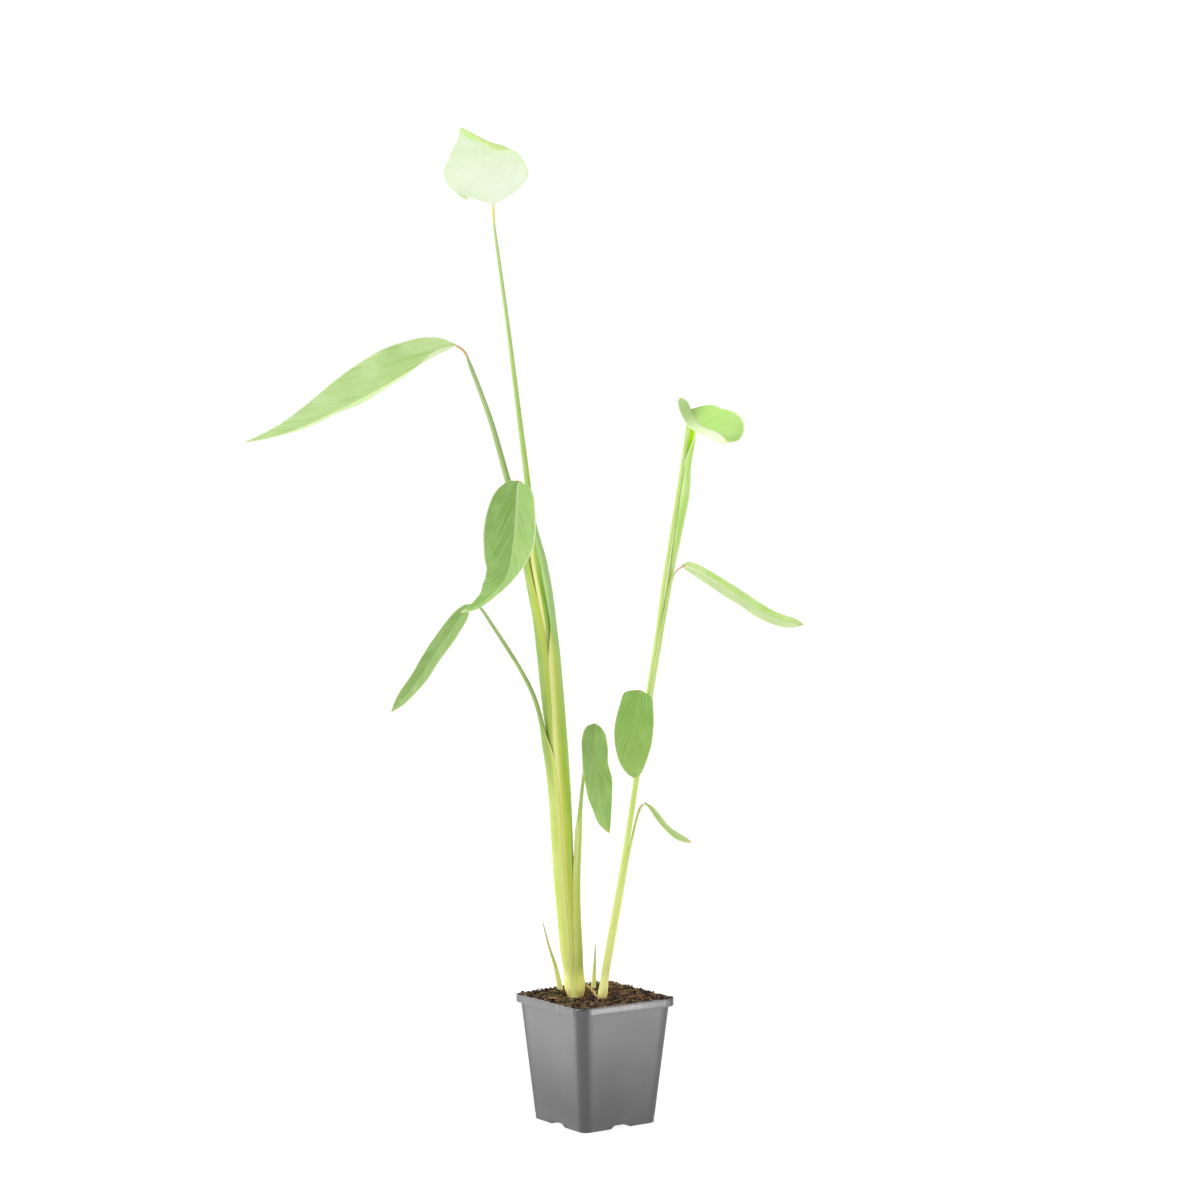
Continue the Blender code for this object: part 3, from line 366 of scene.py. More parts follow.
def leafSurface(name, look, seed):
    # A living blade: parallel side veins leave the midrib at a low angle, about a millimetre
    # apart, between longer streaks of light and dark, under a thin waxy skin
    surface, add = newSurface(name, Specular_IOR_Level=0.3)
    look = {**plainBlade, "leftFar": look["left"], "rightFar": look["right"], **look}
    u, t = uvParts(add, "share")
    d, s = uvParts(add, "size")
    aside = add("Math ABSOLUTE", d)
    reach = add("Math ABSOLUTE", add(timesAdd, u, 2.0, -1.0))
    half = add(soft, d, -0.5, 0.5)
    drift = noiseAt(add, add(times, s, 1 / 14), add(times, d, 1 / 9), seed)
    vein = add(timesAdd, drift, look["drift"], add(timesAdd, aside, -look["slant"], s))
    along = add(timesAdd, half, 7.0, add(times, aside, 1 / 16))
    streaks = noiseAt(add, add(times, vein, 1 / look["streak"]), along, seed, 3.0)
    fine = noiseAt(add, add(times, vein, 1 / look["fine"]), along, seed + 3.0)
    long, wide = look["cloud"]
    cloud = noiseAt(add, add(times, s, 1 / long), add(times, d, 1 / wide), seed + 9.0)
    layers = [
        (add(soft, t, 0.15, look["farTo"]), add(mix, half, look["leftFar"], look["rightFar"])),
        (add(soft, streaks, 0.32, 0.68, 0.0, look["streaked"]), look["pale"]),
        (add(soft, streaks, 0.5, 0.25, 0.0, look["darkened"]), look["deep"]),
        (add(soft, fine, 0.35, 0.7, 0.0, 0.22), look["deep"]),
        (add(soft, cloud, 0.42, 0.7, 0.0, 0.35), look["pale"]),
        (add(soft, reach, look["edgeFrom"], 0.985, 0.0, 0.85), look["edge"]),
    ]
    if "strip" in look:
        strip = add(timesAdd, add(soft, t, 0.75, 1.0), -0.5, u)
        strip = add(times, add(soft, strip, 0.34, 0.16), add(soft, t, 0.45, 0.8))
        layers.append((strip, look["strip"]))
    rib = add("Math DIVIDE", aside, add(soft, t, 0.0, 1.0, look["rib"], look["ribTip"]))
    rib = add(times, add(soft, rib, 1.0, 0.55), add(soft, t, look["ribTo"], 0.0, 0.0, look["ribShare"]))
    foot = add(soft, add(timesAdd, aside, 0.8, s), look["footTo"], look["footTo"] * 0.3)
    layers += [
        (add(soft, t, look["tipFrom"], 1.0, 0.0, 0.9), look["tip"]),
        (rib, look["midrib"]),
        (foot, look["foot"]),
    ]
    lines = add("Math SINE", add(times, vein, 2 * math.pi / look["veinGap"]))
    relief = add(timesAdd, fine, 0.35, add(timesAdd, lines, 0.12, streaks))
    colour = layered(add, add(mix, half, look["left"], look["right"]), layers)
    return dressed(surface, add, colour, relief, look["bump"], 0.5,
                   Roughness=add(soft, streaks, 0.3, 0.7, 0.42, 0.58))


def stalkSurface(name, look, seed):
    # A smooth, waxy stalk: fine fibres run its whole length, with thin, dry margins to its sheath
    surface, add = newSurface(name, Roughness=0.45, Specular_IOR_Level=0.3)
    u, t = uvParts(add, "share")
    inset, length = uvParts(add, "size")
    height = add("SeparateXYZ", add("TexCoord", out=3), out=2)
    height = add(times, height, 1 / mm)
    low, high = look["heights"][0][0], look["heights"][-1][0]
    level = add("MapRange", height, low, high)
    stops = [((stop - low) / (high - low), code) for stop, code in look["heights"]]
    colour = add("ValToRGB", level, stops=stops)
    fibres = noiseAt(add, add(times, u, look.get("fibres", 26.0)), add(times, length, 1 / 45), seed, 3.0)
    cloud = noiseAt(add, add(times, u, 3.0), add(times, length, 1 / 22), seed + 5.0)
    layers = [
        (add(soft, fibres, 0.4, 0.72, 0.0, 0.4), look["pale"]),
        (add(soft, fibres, 0.5, 0.28, 0.0, 0.4), look["deep"]),
        (add(soft, cloud, 0.45, 0.7, 0.0, 0.3), look["pale"]),
    ]
    if "stripe" in look:
        if "stripeTurn" in look:
            start, end = look["stripeTurn"]
            stripe = add(times, add(soft, u, start, start + 0.05), add(soft, u, end + 0.03, end - 0.03))
        else:
            stripe = add(soft, inset, look["stripeWidth"], look["stripeWidth"] * 0.5)
        low, high = look["stripeHeights"]
        stripe = add(times, stripe, add(soft, height, low, low + 25))
        stripe = add(times, stripe, add(soft, height, high, high - 25))
        layers.append((stripe, look["stripe"]))
    if "narrowFrom" in look:
        top = look["narrowFrom"]
        inset = add("Math DIVIDE", inset, add(soft, height, top, top - 35, 0.3, 1.0))
    if "flank" in look:
        wide = look["flankWidth"]
        layers.append((add(soft, inset, wide, wide * 0.25, 0.0, 0.85), look["flank"]))
    if "margin" in look:
        wide = look.get("marginWidth", 1.0)
        layers.append((add(soft, inset, wide, wide * 0.4, 0.0, 0.9), look["margin"]))
    if "joint" in look:
        start = look["jointFrom"]
        layers.append((add(soft, t, start, start + 0.012), look["joint"]))
    colour = layered(add, colour, layers)
    paintedFootGlow = add(soft, height, 118, 100, 0.0, 0.3)  # painted light: the foot glows to lift the shade the soil casts on it
    ribs = add("Math SINE", add(times, u, 2 * math.pi * 34))
    return dressed(surface, add, colour, add(timesAdd, ribs, 0.15, fibres), 0.35, 0.3,
                   Emission_Color=colour, Emission_Strength=paintedFootGlow)


# Blades

bladeShape = dict(
    reaches=(0, 0.035, 0.075, 0.12, 0.18, 0.25, 0.33, 0.42, 0.51, 0.6, 0.69, 0.77, 0.84, 0.9,
             0.95, 0.98, 1),
    rows=110, thickness=0.5, curlFrom=0.65, foldShare=0.14, root=1.0,
    grooveDepth=0.28, grooveWidth=1.0,  # the midrib, a groove above and a ridge below
    ripple=0.5, rippleLength=17,
)

# Each blade's midrib, where its upper face looks, its half widths by the share of the length, and
# how each half turns up (lift), bends on (bow) and curls at its margin. Both halves of leaf D are
# alike, and a half that doesn't bend on or curl has no bow or curl.
blades = dict(
    leaf_a=dict(
        midrib=[(-77.7, 19.5, 696.5), (-78.4, 0, 702.9), (-80.2, -25, 708.9), (-83.6, -60, 714.9),
                (-88.2, -95, 720.4), (-93.6, -124, 725.2)],
        facing=(0.0, 0.3, 1.0), waves=(1.0, 3.0),
        left=[(0, 1.2), (0.04, 8), (0.1, 18), (0.2, 27), (0.3, 31), (0.4, 30), (0.5, 27.5), (0.6, 26.5),
              (0.68, 25.5), (0.8, 18.5), (0.9, 12), (0.97, 5), (1, 0.5)],
        right=[(0, 1.2), (0.06, 17), (0.1, 24), (0.2, 30.5), (0.32, 32), (0.45, 28.5), (0.6, 21.5),
               (0.8, 11), (0.92, 4.5), (1, 0.5)],
        leftLift=[(0, 8), (0.4, 11), (0.56, 18), (0.66, 16), (0.8, 0), (0.9, -8), (1, -8)],
        leftBow=-6,
        leftCurl=[(0, 0), (0.45, 0), (0.6, -35), (0.7, -80), (0.8, -115), (1, -125)],
        rightLift=8, rightBow=-6,
        rightCurl=[(0, -20), (0.07, -20), (0.1, -150), (0.13, -20), (1, -20)],
    ),
    leaf_b=dict(
        midrib=[(-106.4, 12.9, 587.4), (-114, 11.5, 583.4), (-125.2, 9, 577.4), (-136.4, 6, 570.3),
                (-158.7, 1, 556.2), (-184.8, -3, 541.5), (-221.9, -8, 523), (-243, -9.5, 516),
                (-262.3, -10, 512)],
        facing=(0.0, -0.66, 0.75), waves=(0.8, 4.0),
        left=[(0, 1.2), (0.05, 8), (0.15, 15), (0.3, 18), (0.45, 17), (0.6, 13.5), (0.8, 7.5), (1, 0.5)],
        right=[(0, 1.2), (0.03, 9), (0.08, 15), (0.15, 20.5), (0.27, 25), (0.4, 25.5), (0.52, 22.5),
               (0.65, 17), (0.78, 11), (0.9, 5.5), (1, 0.5)],
        leftLift=[(0, 60), (0.15, 50), (0.35, 33), (1, 33)],
        rightLift=30, rightBow=6,
    ),
    leaf_c=dict(
        midrib=[(-56.3, -25, 481.4), (-57.3, -29, 475.2), (-58.8, -38, 445.2), (-61.6, -42, 422.9),
                (-64.5, -44, 411.9), (-69.6, -46, 403.7), (-74.8, -46, 398.5), (-80.7, -46, 393.4),
                (-88.8, -46, 388.2), (-98.4, -45, 384.5)],
        facing=(0.0, -1.0, 0.15), waves=(0.6, 3.0),
        left=[(0, 1.2), (0.03, 7), (0.08, 11.5), (0.16, 13.9), (0.42, 15.6), (0.51, 12.6), (0.62, 6.6),
              (0.72, 3.8), (0.91, 2.6), (1, 0.5)],
        right=[(0, 1.2), (0.03, 9), (0.08, 15.5), (0.16, 20), (0.3, 23.3), (0.42, 23), (0.61, 17.8),
               (0.76, 11), (0.82, 6.7), (0.91, 3.3), (1, 0.5)],
        leftLift=12, rightLift=12,
    ),
    leaf_d=dict(
        midrib=[(-93.3, -13.5, 389.2), (-96.5, -14.5, 386.5), (-102.0, -16, 378.4), (-117.9, -19, 355.9),
                (-132.4, -21, 333.5), (-151.9, -20, 309.6)],
        facing=(-0.1, -0.98, 0.1), waves=(0.4, 3.0),
        left=[(0, 1.2), (0.04, 3.6), (0.12, 6.3), (0.3, 7.2), (0.5, 7.0), (0.7, 6.1), (0.88, 4.4),
              (1, 0.5)],
        leftLift=18, rightLift=18,
    ),
    leaf_e=dict(
        midrib=[(1.5, -22.5, 299.9), (1.3, -23.6, 299.1), (0.4, -26, 292.7), (0.4, -28, 281.7),
                (1.5, -29, 270.6), (3.3, -29, 255.7), (6.3, -28, 240.7), (10.8, -26.5, 219.7)],
        facing=(0.05, -1.0, 0.1), waves=(1.0, 4.0),
        left=[(0, 1.2), (0.04, 5), (0.1, 8.2), (0.23, 9.6), (0.37, 9), (0.55, 10.4), (0.74, 6.7),
              (0.9, 3.2), (1, 0.5)],
        right=[(0, 1.2), (0.04, 7), (0.1, 9.3), (0.23, 10.4), (0.55, 10.4), (0.74, 8.9), (0.9, 6),
               (1, 0.5)],
        leftLift=12, rightLift=12,
    ),
    leaf_f=dict(
        midrib=[(72.7, -4.7, 536.7), (74.7, -14, 531.5), (79, -34, 522.5), (86.7, -60, 516.9),
                (90.7, -80, 512.9), (92.8, -95, 509.3), (94.5, -104, 505.8)],
        facing=(0.0, -0.1, 1.0), waves=(0.15, 3.0),
        left=[(0, 1.2), (0.04, 9), (0.12, 16), (0.3, 21.5), (0.5, 23), (0.68, 21), (0.85, 15), (0.95, 9),
              (1, 2)],
        right=[(0, 2.5), (0.01, 8), (0.025, 12.5), (0.05, 16.5), (0.08, 17.5), (0.12, 15), (0.2, 10),
               (0.35, 6.5), (0.55, 6), (0.8, 6.5), (0.93, 4.5), (1, 1)],
        leftLift=[(0, 38), (0.4, 37), (0.6, 30), (0.8, 13), (0.92, -3), (1, -10)],
        rightLift=[(0, 70), (0.03, 58), (0.08, 44), (0.15, 22), (0.22, 0), (0.35, -28), (0.5, -48),
                   (1, -50)],
        rightCurl=[(0, 0), (0.2, 0), (0.4, -90)],
    ),
    leaf_h=dict(
        midrib=[(67.1, -0.9, 419.1), (73.6, -2.6, 417.0), (79.6, -4, 414.1), (92.2, -8, 406.2),
                (109.3, -13, 395.2), (127.7, -18, 383), (139.5, -20, 378.2), (155.8, -22, 375)],
        facing=(0.1, -0.95, 0.2), waves=(0.5, 4.0),
        left=[(0, 1.2), (0.025, 4.2), (0.2, 5.1), (0.5, 5.3), (0.8, 5.0), (0.93, 3.7), (1, 0.6)],
        right=[(0, 1.2), (0.03, 3.0), (0.2, 5.4), (0.5, 5.8), (0.8, 5.4), (0.93, 4), (1, 0.6)],
        leftLift=30, rightLift=12,
    ),
    leaf_i=dict(
        midrib=[(33.9, -24.1, 324.9), (33.4, -25.4, 322.5), (32, -27, 315.1), (30.1, -29.5, 300.4),
                (29.4, -30.5, 285.5), (29.8, -30, 270.6), (30.1, -29.5, 260.9)],
        facing=(0.0, -1.0, 0.1), waves=(0.4, 3.0),
        left=[(0, 1.2), (0.02, 6), (0.06, 10), (0.17, 12.2), (0.4, 14.1), (0.6, 13.2), (0.75, 10.5),
              (0.87, 7.3), (0.95, 4.5), (1, 1)],
        right=[(0, 1.2), (0.02, 7), (0.06, 11.5), (0.17, 13), (0.4, 15.2), (0.6, 14.6), (0.75, 12.6),
               (0.87, 9.3), (0.95, 5.5), (1, 1)],
        leftLift=12, rightLift=12,
    ),
    leaf_j=dict(
        midrib=[(38.3, -2.9, 239.3), (42, -4, 235.5), (47.2, -5, 228.5), (53, -5.5, 221.2),
                (60.6, -6, 215.2), (72.8, -6, 210.4)],
        facing=(0.5, -0.7, 0.5), waves=(0.3, 2.0),
        left=[(0, 0.9), (0.1, 2.6), (0.4, 4), (0.7, 4.2), (0.9, 3.4), (1, 0.6)],
        right=[(0, 0.9), (0.1, 2.4), (0.4, 3.4), (0.7, 4), (0.9, 3.2), (1, 0.6)],
        leftLift=[(0, 30), (1, -10)], rightLift=[(0, 40), (1, 30)],
    ),
)

# Each blade's look on its upper face
bladeLooks = dict(
    leaf_a=dict(
        # painted light: the upper face is painted brighter, most of all from 0.6 of the half width out
        # (edge), where it curls under into shade
        left="#d0f288", right="#a4d050", pale="#d8f49c", deep="#b8e46c", edge="#e0fca4", tip="#e2f4a0",
        midrib="#d0d898", foot="#dcdc98", edgeFrom=0.6,
    ),
    leaf_b=dict(
        left="#d2e8ae", right="#bedc8c", leftFar="#d2e8ae", rightFar="#c2e094", pale="#dcf0bc",
        deep="#96c264", edge="#dcefb8", tip="#d8e2a8", midrib="#b6bc70", foot="#dcc088", slant=3.8,
        streak=3.4, edgeFrom=0.95, footTo=1.6, darkened=0.4, bump=0.2,
    ),
    leaf_c=dict(
        left="#a5cf70", right="#85b250", leftFar="#b2dc80", rightFar="#90c05a", pale="#bcdc90",
        deep="#6a9a3a", edge="#eef6cc", tip="#e6e4a8", midrib="#cbe0a0", foot="#dcc898", slant=2.8,
        edgeFrom=0.94, footTo=1.6,
    ),
    leaf_d=dict(
        left="#94ba66", right="#8cb45c", pale="#bcd692", deep="#6d9a40", edge="#dce8bc", tip="#c8d494",
        midrib="#a6c878", foot="#d8c48c", slant=3.0, edgeFrom=0.9, darkened=0.35,
    ),
    leaf_e=dict(
        left="#86ae4c", right="#90b460", leftFar="#8eb656", rightFar="#a8d470", pale="#acce80",
        deep="#6a943c", edge="#ccd87a", tip="#e6c860", midrib="#a2bf6c", foot="#d8bc80", slant=3.0,
        streak=2.0, tipFrom=0.95, ribShare=0.55, footTo=1.5,
    ),
    leaf_f=dict(
        left="#aeda68", right="#e0faae", leftFar="#a8d860", rightFar="#ecf6d8", pale="#c8ea94",
        deep="#94ca4c", edge="#dcf0b0", tip="#d8ec9c", midrib="#e6dcb4", foot="#e0b8a0", slant=2.6,
        streak=3.4, rib=1.0, ribShare=0.7, darkened=0.3, streaked=0.3, farTo=0.4,
    ),
    leaf_h=dict(
        left="#b6de74", right="#e6fabc", pale="#e2f6bc", deep="#a4d060", edge="#def0b4", tip="#c8da86",
        midrib="#f2f8cc", foot="#d8b48c", slant=4.0, streak=2.2, ribShare=0.95, darkened=0.3,
    ),
    leaf_i=dict(
        left="#86b44c", right="#90bf56", leftFar="#98b854", rightFar="#9cbc56", pale="#a8d078",
        deep="#6c9c3a", edge="#a8c66c", tip="#c4c05c", midrib="#a4c670", foot="#d2b878", slant=2.8,
        tipFrom=0.965, ribShare=0.5, footTo=1.5,
    ),
    leaf_j=dict(
        left="#cce896", right="#bce080", pale="#def2b0", deep="#a0c662", edge="#dcecac", tip="#ecd074",
        midrib="#c8d490", foot="#d0bf74", slant=4.0, streak=1.8, tipFrom=0.88,
    ),
)

# The undersides: the tallest leaf's pale one, which the camera sees, leaf F's, and the others'
undersides = dict(
    leaf_a=dict(
        left="#dde8cf", right="#dbe8cb", leftFar="#cfe2b4", rightFar="#cde2b0", pale="#e6efdc",
        deep="#c4dba4", edge="#cfe8a0", tip="#cfe092", midrib="#e2e8cc", foot="#e2e6bc", slant=2.4,
        streak=3.4, ribShare=0.6, ribTo=0.3, footTo=3.0, bump=0.4, edgeFrom=0.95, darkened=0.35,
        strip="#c2ea88",
    ),
    leaf_f=dict(
        left="#cfe8a4", right="#e2ffa6", rightFar="#e6f5cc", pale="#e4f5c4", deep="#b8dc84", edge="#dcf4b0",
        tip="#dcecb0", midrib="#d8e0a0", foot="#dcc89c", slant=2.4, streak=3.0, ribShare=0.7, darkened=0.3,
    ),
    others=dict(
        left="#cfe2ac", right="#d2e4b0", pale="#dfecc4", deep="#b4cd86", edge="#d3e6a8", tip="#d2d490",
        midrib="#ccc890", foot="#d8c48c", slant=2.4, streak=3.0, ribShare=0.7,
    ),
)


def halfSection(width, lift, bow, curl):
    # Place and slope at each reach across one half of a blade
    spots, slopes = [(0.0, 0.0)], [math.radians(lift)]
    reaches = bladeShape["reaches"]
    bend = bladeShape["curlFrom"]
    for near, far in zip(reaches, reaches[1:]):
        middle = (near + far) / 2
        fold = min(1.0, 0.35 + 0.65 * middle / bladeShape["foldShare"])
        curled = ease((middle - bend) / (1 - bend))
        slope = math.radians(lift * fold + bow * middle + curl * curled)
        run = width * (far - near)
        across, up = spots[-1]
        spots.append((across + run * math.cos(slope), up + run * math.sin(slope)))
        slopes.append(slope)
    return spots, slopes


def bladeRow(leaf, t, place, side, up, along, seed):
    # Upper and lower corners of one row, from the left margin over the midrib to the right one
    upper, lower = [], []
    size, count = leaf["waves"]
    for sign, key in ((-1, "left"), (1, "right")):
        widths = leaf.get(key, leaf["left"])
        width = max(smoothValue(widths, t), 0.5)
        widest = max(value for _, value in widths)
        turns = (leaf.get(key + part, 0) for part in ("Lift", "Bow", "Curl"))
        spots, slopes = halfSection(width, *(smoothValue(turn, t) for turn in turns))
        corners = []
        for (across, high), slope, reach in zip(spots, slopes, bladeShape["reaches"]):
            normal = up * math.cos(slope) - side * (sign * math.sin(slope)) if reach else up
            aside = reach * width
            swell = size * math.sin(2 * math.pi * count * t + sign) * reach ** 2 * width / widest
            ripple = noise.noise(Vector((along, sign * aside, seed)) / bladeShape["rippleLength"])
            swell += bladeShape["ripple"] * ripple * reach * min(width / 12, 1)
            rib = bladeShape["grooveWidth"] * (1 - 0.6 * t)
            depth = bladeShape["grooveDepth"] * min(widest / 22, 1) * (1 - 0.7 * t)
            swell -= depth * math.exp(-(aside / rib) ** 2)
            spot = place + side * (sign * across) + up * high + normal * swell
            thick = normal * bladeShape["thickness"] / 2
            labels = (0.5 + sign * reach / 2, t), (sign * aside, along)
            corners.append(((spot + thick, *labels), (spot - thick, *labels)))
        half = corners[:0:-1] if sign < 0 else corners
        upper += [pair[0] for pair in half]
        lower += [pair[1] for pair in half]
    return upper, lower


def joinSheets(tops, bottoms):
    # Two equal sheets of corners joined round their edges, the lower one with material 1
    columns, rows = len(tops[0]) - 1, len(tops) - 1
    shape = shapeGrid(columns, rows, tops)
    under = shapeGrid(columns, rows, bottoms)
    for face in under.faces:
        face.material_index = 1
    addShape(shape, under)
    edges = [edge for edge in shape.edges if edge.is_boundary]
    rim = set(bmesh.ops.bridge_loops(shape, edges=edges)["faces"])
    for layer in shape.loops.layers.uv.values():
        for face in rim:
            for loop in face.loops:
                near = next(other for other in loop.vert.link_loops if other.face not in rim)
                loop[layer].uv = near[layer].uv
    bmesh.ops.recalc_face_normals(shape, faces=shape.faces)
    return shape


def buildBlade(name, seed):
    leaf = blades[name]
    line = curveThrough(leaf["midrib"], 1.0)
    alongLine = directionsAlong(line)
    line[0] = line[0] - alongLine[0] * bladeShape["root"]
    last = len(line) - 1
    facing = Vector(leaf["facing"])
    total = lengthsAlong(line)[-1]
    rows = bladeShape["rows"]
    tops, bottoms = [], []
    for count in range(rows + 1):
        t = 0.5 * count / rows + 0.25 * (1 - math.cos(math.pi * count / rows))
        index = min(int(t * last), last - 1)
        share = t * last - index
        place = line[index].lerp(line[index + 1], share)
        forward = alongLine[index].lerp(alongLine[index + 1], share).normalized()
        up = (facing - forward * facing.dot(forward)).normalized()
        upper, lower = bladeRow(leaf, t, place, forward.cross(up), up, t * total, seed)
        tops.append(upper)
        bottoms.append(lower)
    palette = undersides.get(name, undersides["others"])
    return joinSheets(tops, bottoms), [leafSurface(name + "_upperFace", bladeLooks[name], seed),
                                       leafSurface(name + "_underside", palette, seed + 50.0)]


# Stalks and sheaths

tubeShape = dict(
    halfPoints=14, sheathStep=5.0, stalkStep=3.0, margin=0.35, marginSwell=0.12, coreSides=20,
    firstRound=2.0,  # the first ring of a free stalk is at least this far above its parting
    farInset=20.0, insetRise=6.0,  # the inset of a round ring, and how it grows on the way there
)

# The two shoots' middle lines and radii by height, which are also the youngest leaves' stalks
shoots = dict(
    main=dict(
        route=[(-13.4, 0, 74), (-15.2, 0, 96), (-16.1, 0, 107), (-18.4, 0, 128), (-21.2, 1, 162),
               (-23.2, 1, 185), (-26.6, 2, 242), (-29.4, 2, 287), (-33.1, 3, 332), (-36.9, 4, 375),
               (-39.9, 5, 395), (-44.9, 6, 423), (-47.4, 8, 450), (-51.3, 10, 485), (-58.1, 14, 538),
               (-63.9, 17, 584), (-70.2, 20, 631), (-76.0, 22, 672), (-77.7, 22, 688),
               (-77.6, 20.5, 695.5)],
        radius=[(74, 2.2), (96, 2.4), (128, 2.8), (190, 3.0), (300, 3.2), (355, 3.2), (385, 3.8),
                (425, 4.2), (442, 3.4), (462, 2.4), (492, 2.2), (540, 1.9), (600, 1.6), (660, 1.3),
                (680, 1.0), (688, 1.25), (696, 1.1)],
    ),
    second=dict(
        route=[(2.6, -9, 76), (5.4, -9, 97), (8.1, -9, 117), (16.3, -9, 163), (22.2, -8, 197),
               (29.1, -7, 242), (36.9, -6, 295), (42.7, -5, 333), (47.9, -4, 367), (52.2, -3, 401),
               (57.4, -1, 435), (62.6, 0, 469), (67.6, 1, 503), (70.4, 1.5, 524), (72.0, 0, 534),
               (72.3, -3, 537)],
        radius=[(76, 2.3), (97, 2.9), (105, 2.4), (163, 2.4), (197, 2.2), (254, 2.1), (333, 2.3),
                (401, 2.1), (435, 1.9), (480, 1.6), (524, 1.3), (530, 1.6), (537, 1.0)],
    ),
)

# Leaf sheaths: the margins' directions round the shoot, the inner radius and the thickness in
# the middle, each as pairs of height and value
sheaths = dict(
    leaf_b=dict(
        shoot="main", facing=180, start=[(74, 70), (300, 75), (430, 100)],
        end=[(74, 290), (300, 285), (345, 280), (358, 270), (368, 246), (380, 224), (395, 210), (445, 200)],
        inner=[(74, 2.5), (96, 2.7), (128, 3.1), (190, 3.3), (300, 3.4), (355, 3.5), (430, 4.2)],
        keel=[(74, 1.2), (107, 1.3), (190, 1.6), (262, 1.6), (276, 2.6), (287, 3.4), (310, 5.1), (355, 5.8),
              (375, 5.9), (430, 6.9)],
    ),
    leaf_c=dict(
        shoot="main", facing=0,
        start=[(74, -125), (285, -116), (333, -102), (352, -92), (362, -80), (370, -55)],
        end=[(74, 110), (226, 106), (300, 102), (370, 80), (420, 60)],
        inner=[(74, 3.7), (96, 3.9), (128, 4.4), (190, 4.7), (285, 5.1), (333, 5.1), (355, 4.9), (375, 4.0),
               (430, 3.6)],
        keel=[(74, 1.9), (107, 2.0), (128, 2.9), (185, 3.0), (242, 4.2), (300, 3.8), (355, 4.0),
              (420, 4.2)],
    ),
    leaf_d=dict(
        shoot="main", facing=184,
        start=[(74, 84), (205, 90), (228, 122), (292, 140), (305, 155)],
        end=[(74, 272), (247, 271), (270, 262), (295, 234), (305, 222)],
        inner=[(74, 4.2), (95, 4.4), (99, 5.1), (107, 5.2), (128, 5.9), (162, 6.2), (242, 6.4), (274, 6.0),
               (290, 6.2), (305, 7.6)],
        keel=[(74, 1.0), (95, 1.0), (99, 2.2), (103, 2.7), (111, 1.3), (128, 1.8), (242, 1.7), (262, 2.7),
              (284, 4.8), (305, 6.8)],
    ),
    leaf_e=dict(
        shoot="main", facing=-4,
        start=[(74, -70), (130, -60), (150, -50), (170, -36), (190, -23), (205, -17), (250, -12)],
        end=[(74, 66), (165, 60), (190, 34), (205, 14), (250, 8)],
        inner=[(74, 5.4), (95, 5.6), (99, 6.4), (107, 6.6), (128, 7.8), (162, 8.2), (190, 9.3), (215, 11.8),
               (250, 13.6)],
        keel=[(74, 1.2), (95, 1.2), (99, 2.0), (103, 2.4), (111, 1.5), (128, 1.7), (162, 2.4), (188, 3.7),
              (215, 3.7), (250, 4.2)],
    ),
    leaf_h=dict(
        shoot="second", facing=0, start=[(300, -40), (320, -80), (405, -70)],
        end=[(300, 40), (320, 80), (405, 70)], inner=[(300, 2.6), (333, 2.6), (405, 2.6)],
        keel=[(300, 0.8), (333, 0.9), (367, 1.3), (405, 2.4)],
    ),
    leaf_i=dict(
        shoot="second", facing=215, start=[(263, 175), (272, 140), (310, 150)],
        end=[(263, 255), (272, 290), (310, 280)], inner=[(263, 2.5), (310, 2.6)],
        keel=[(263, 0.8), (280, 1.0), (310, 1.8)],
    ),
    leaf_j=dict(
        shoot="second", facing=0, start=[(76, -85), (190, -70), (222, -50)],
        end=[(76, 85), (190, 70), (222, 50)],
        inner=[(76, 2.7), (90, 3.1), (97, 3.3), (105, 2.8), (163, 2.7), (222, 2.6)],
        keel=[(76, 1.0), (97, 1.2), (163, 1.1), (197, 1.0), (222, 1.4)],
    ),
)

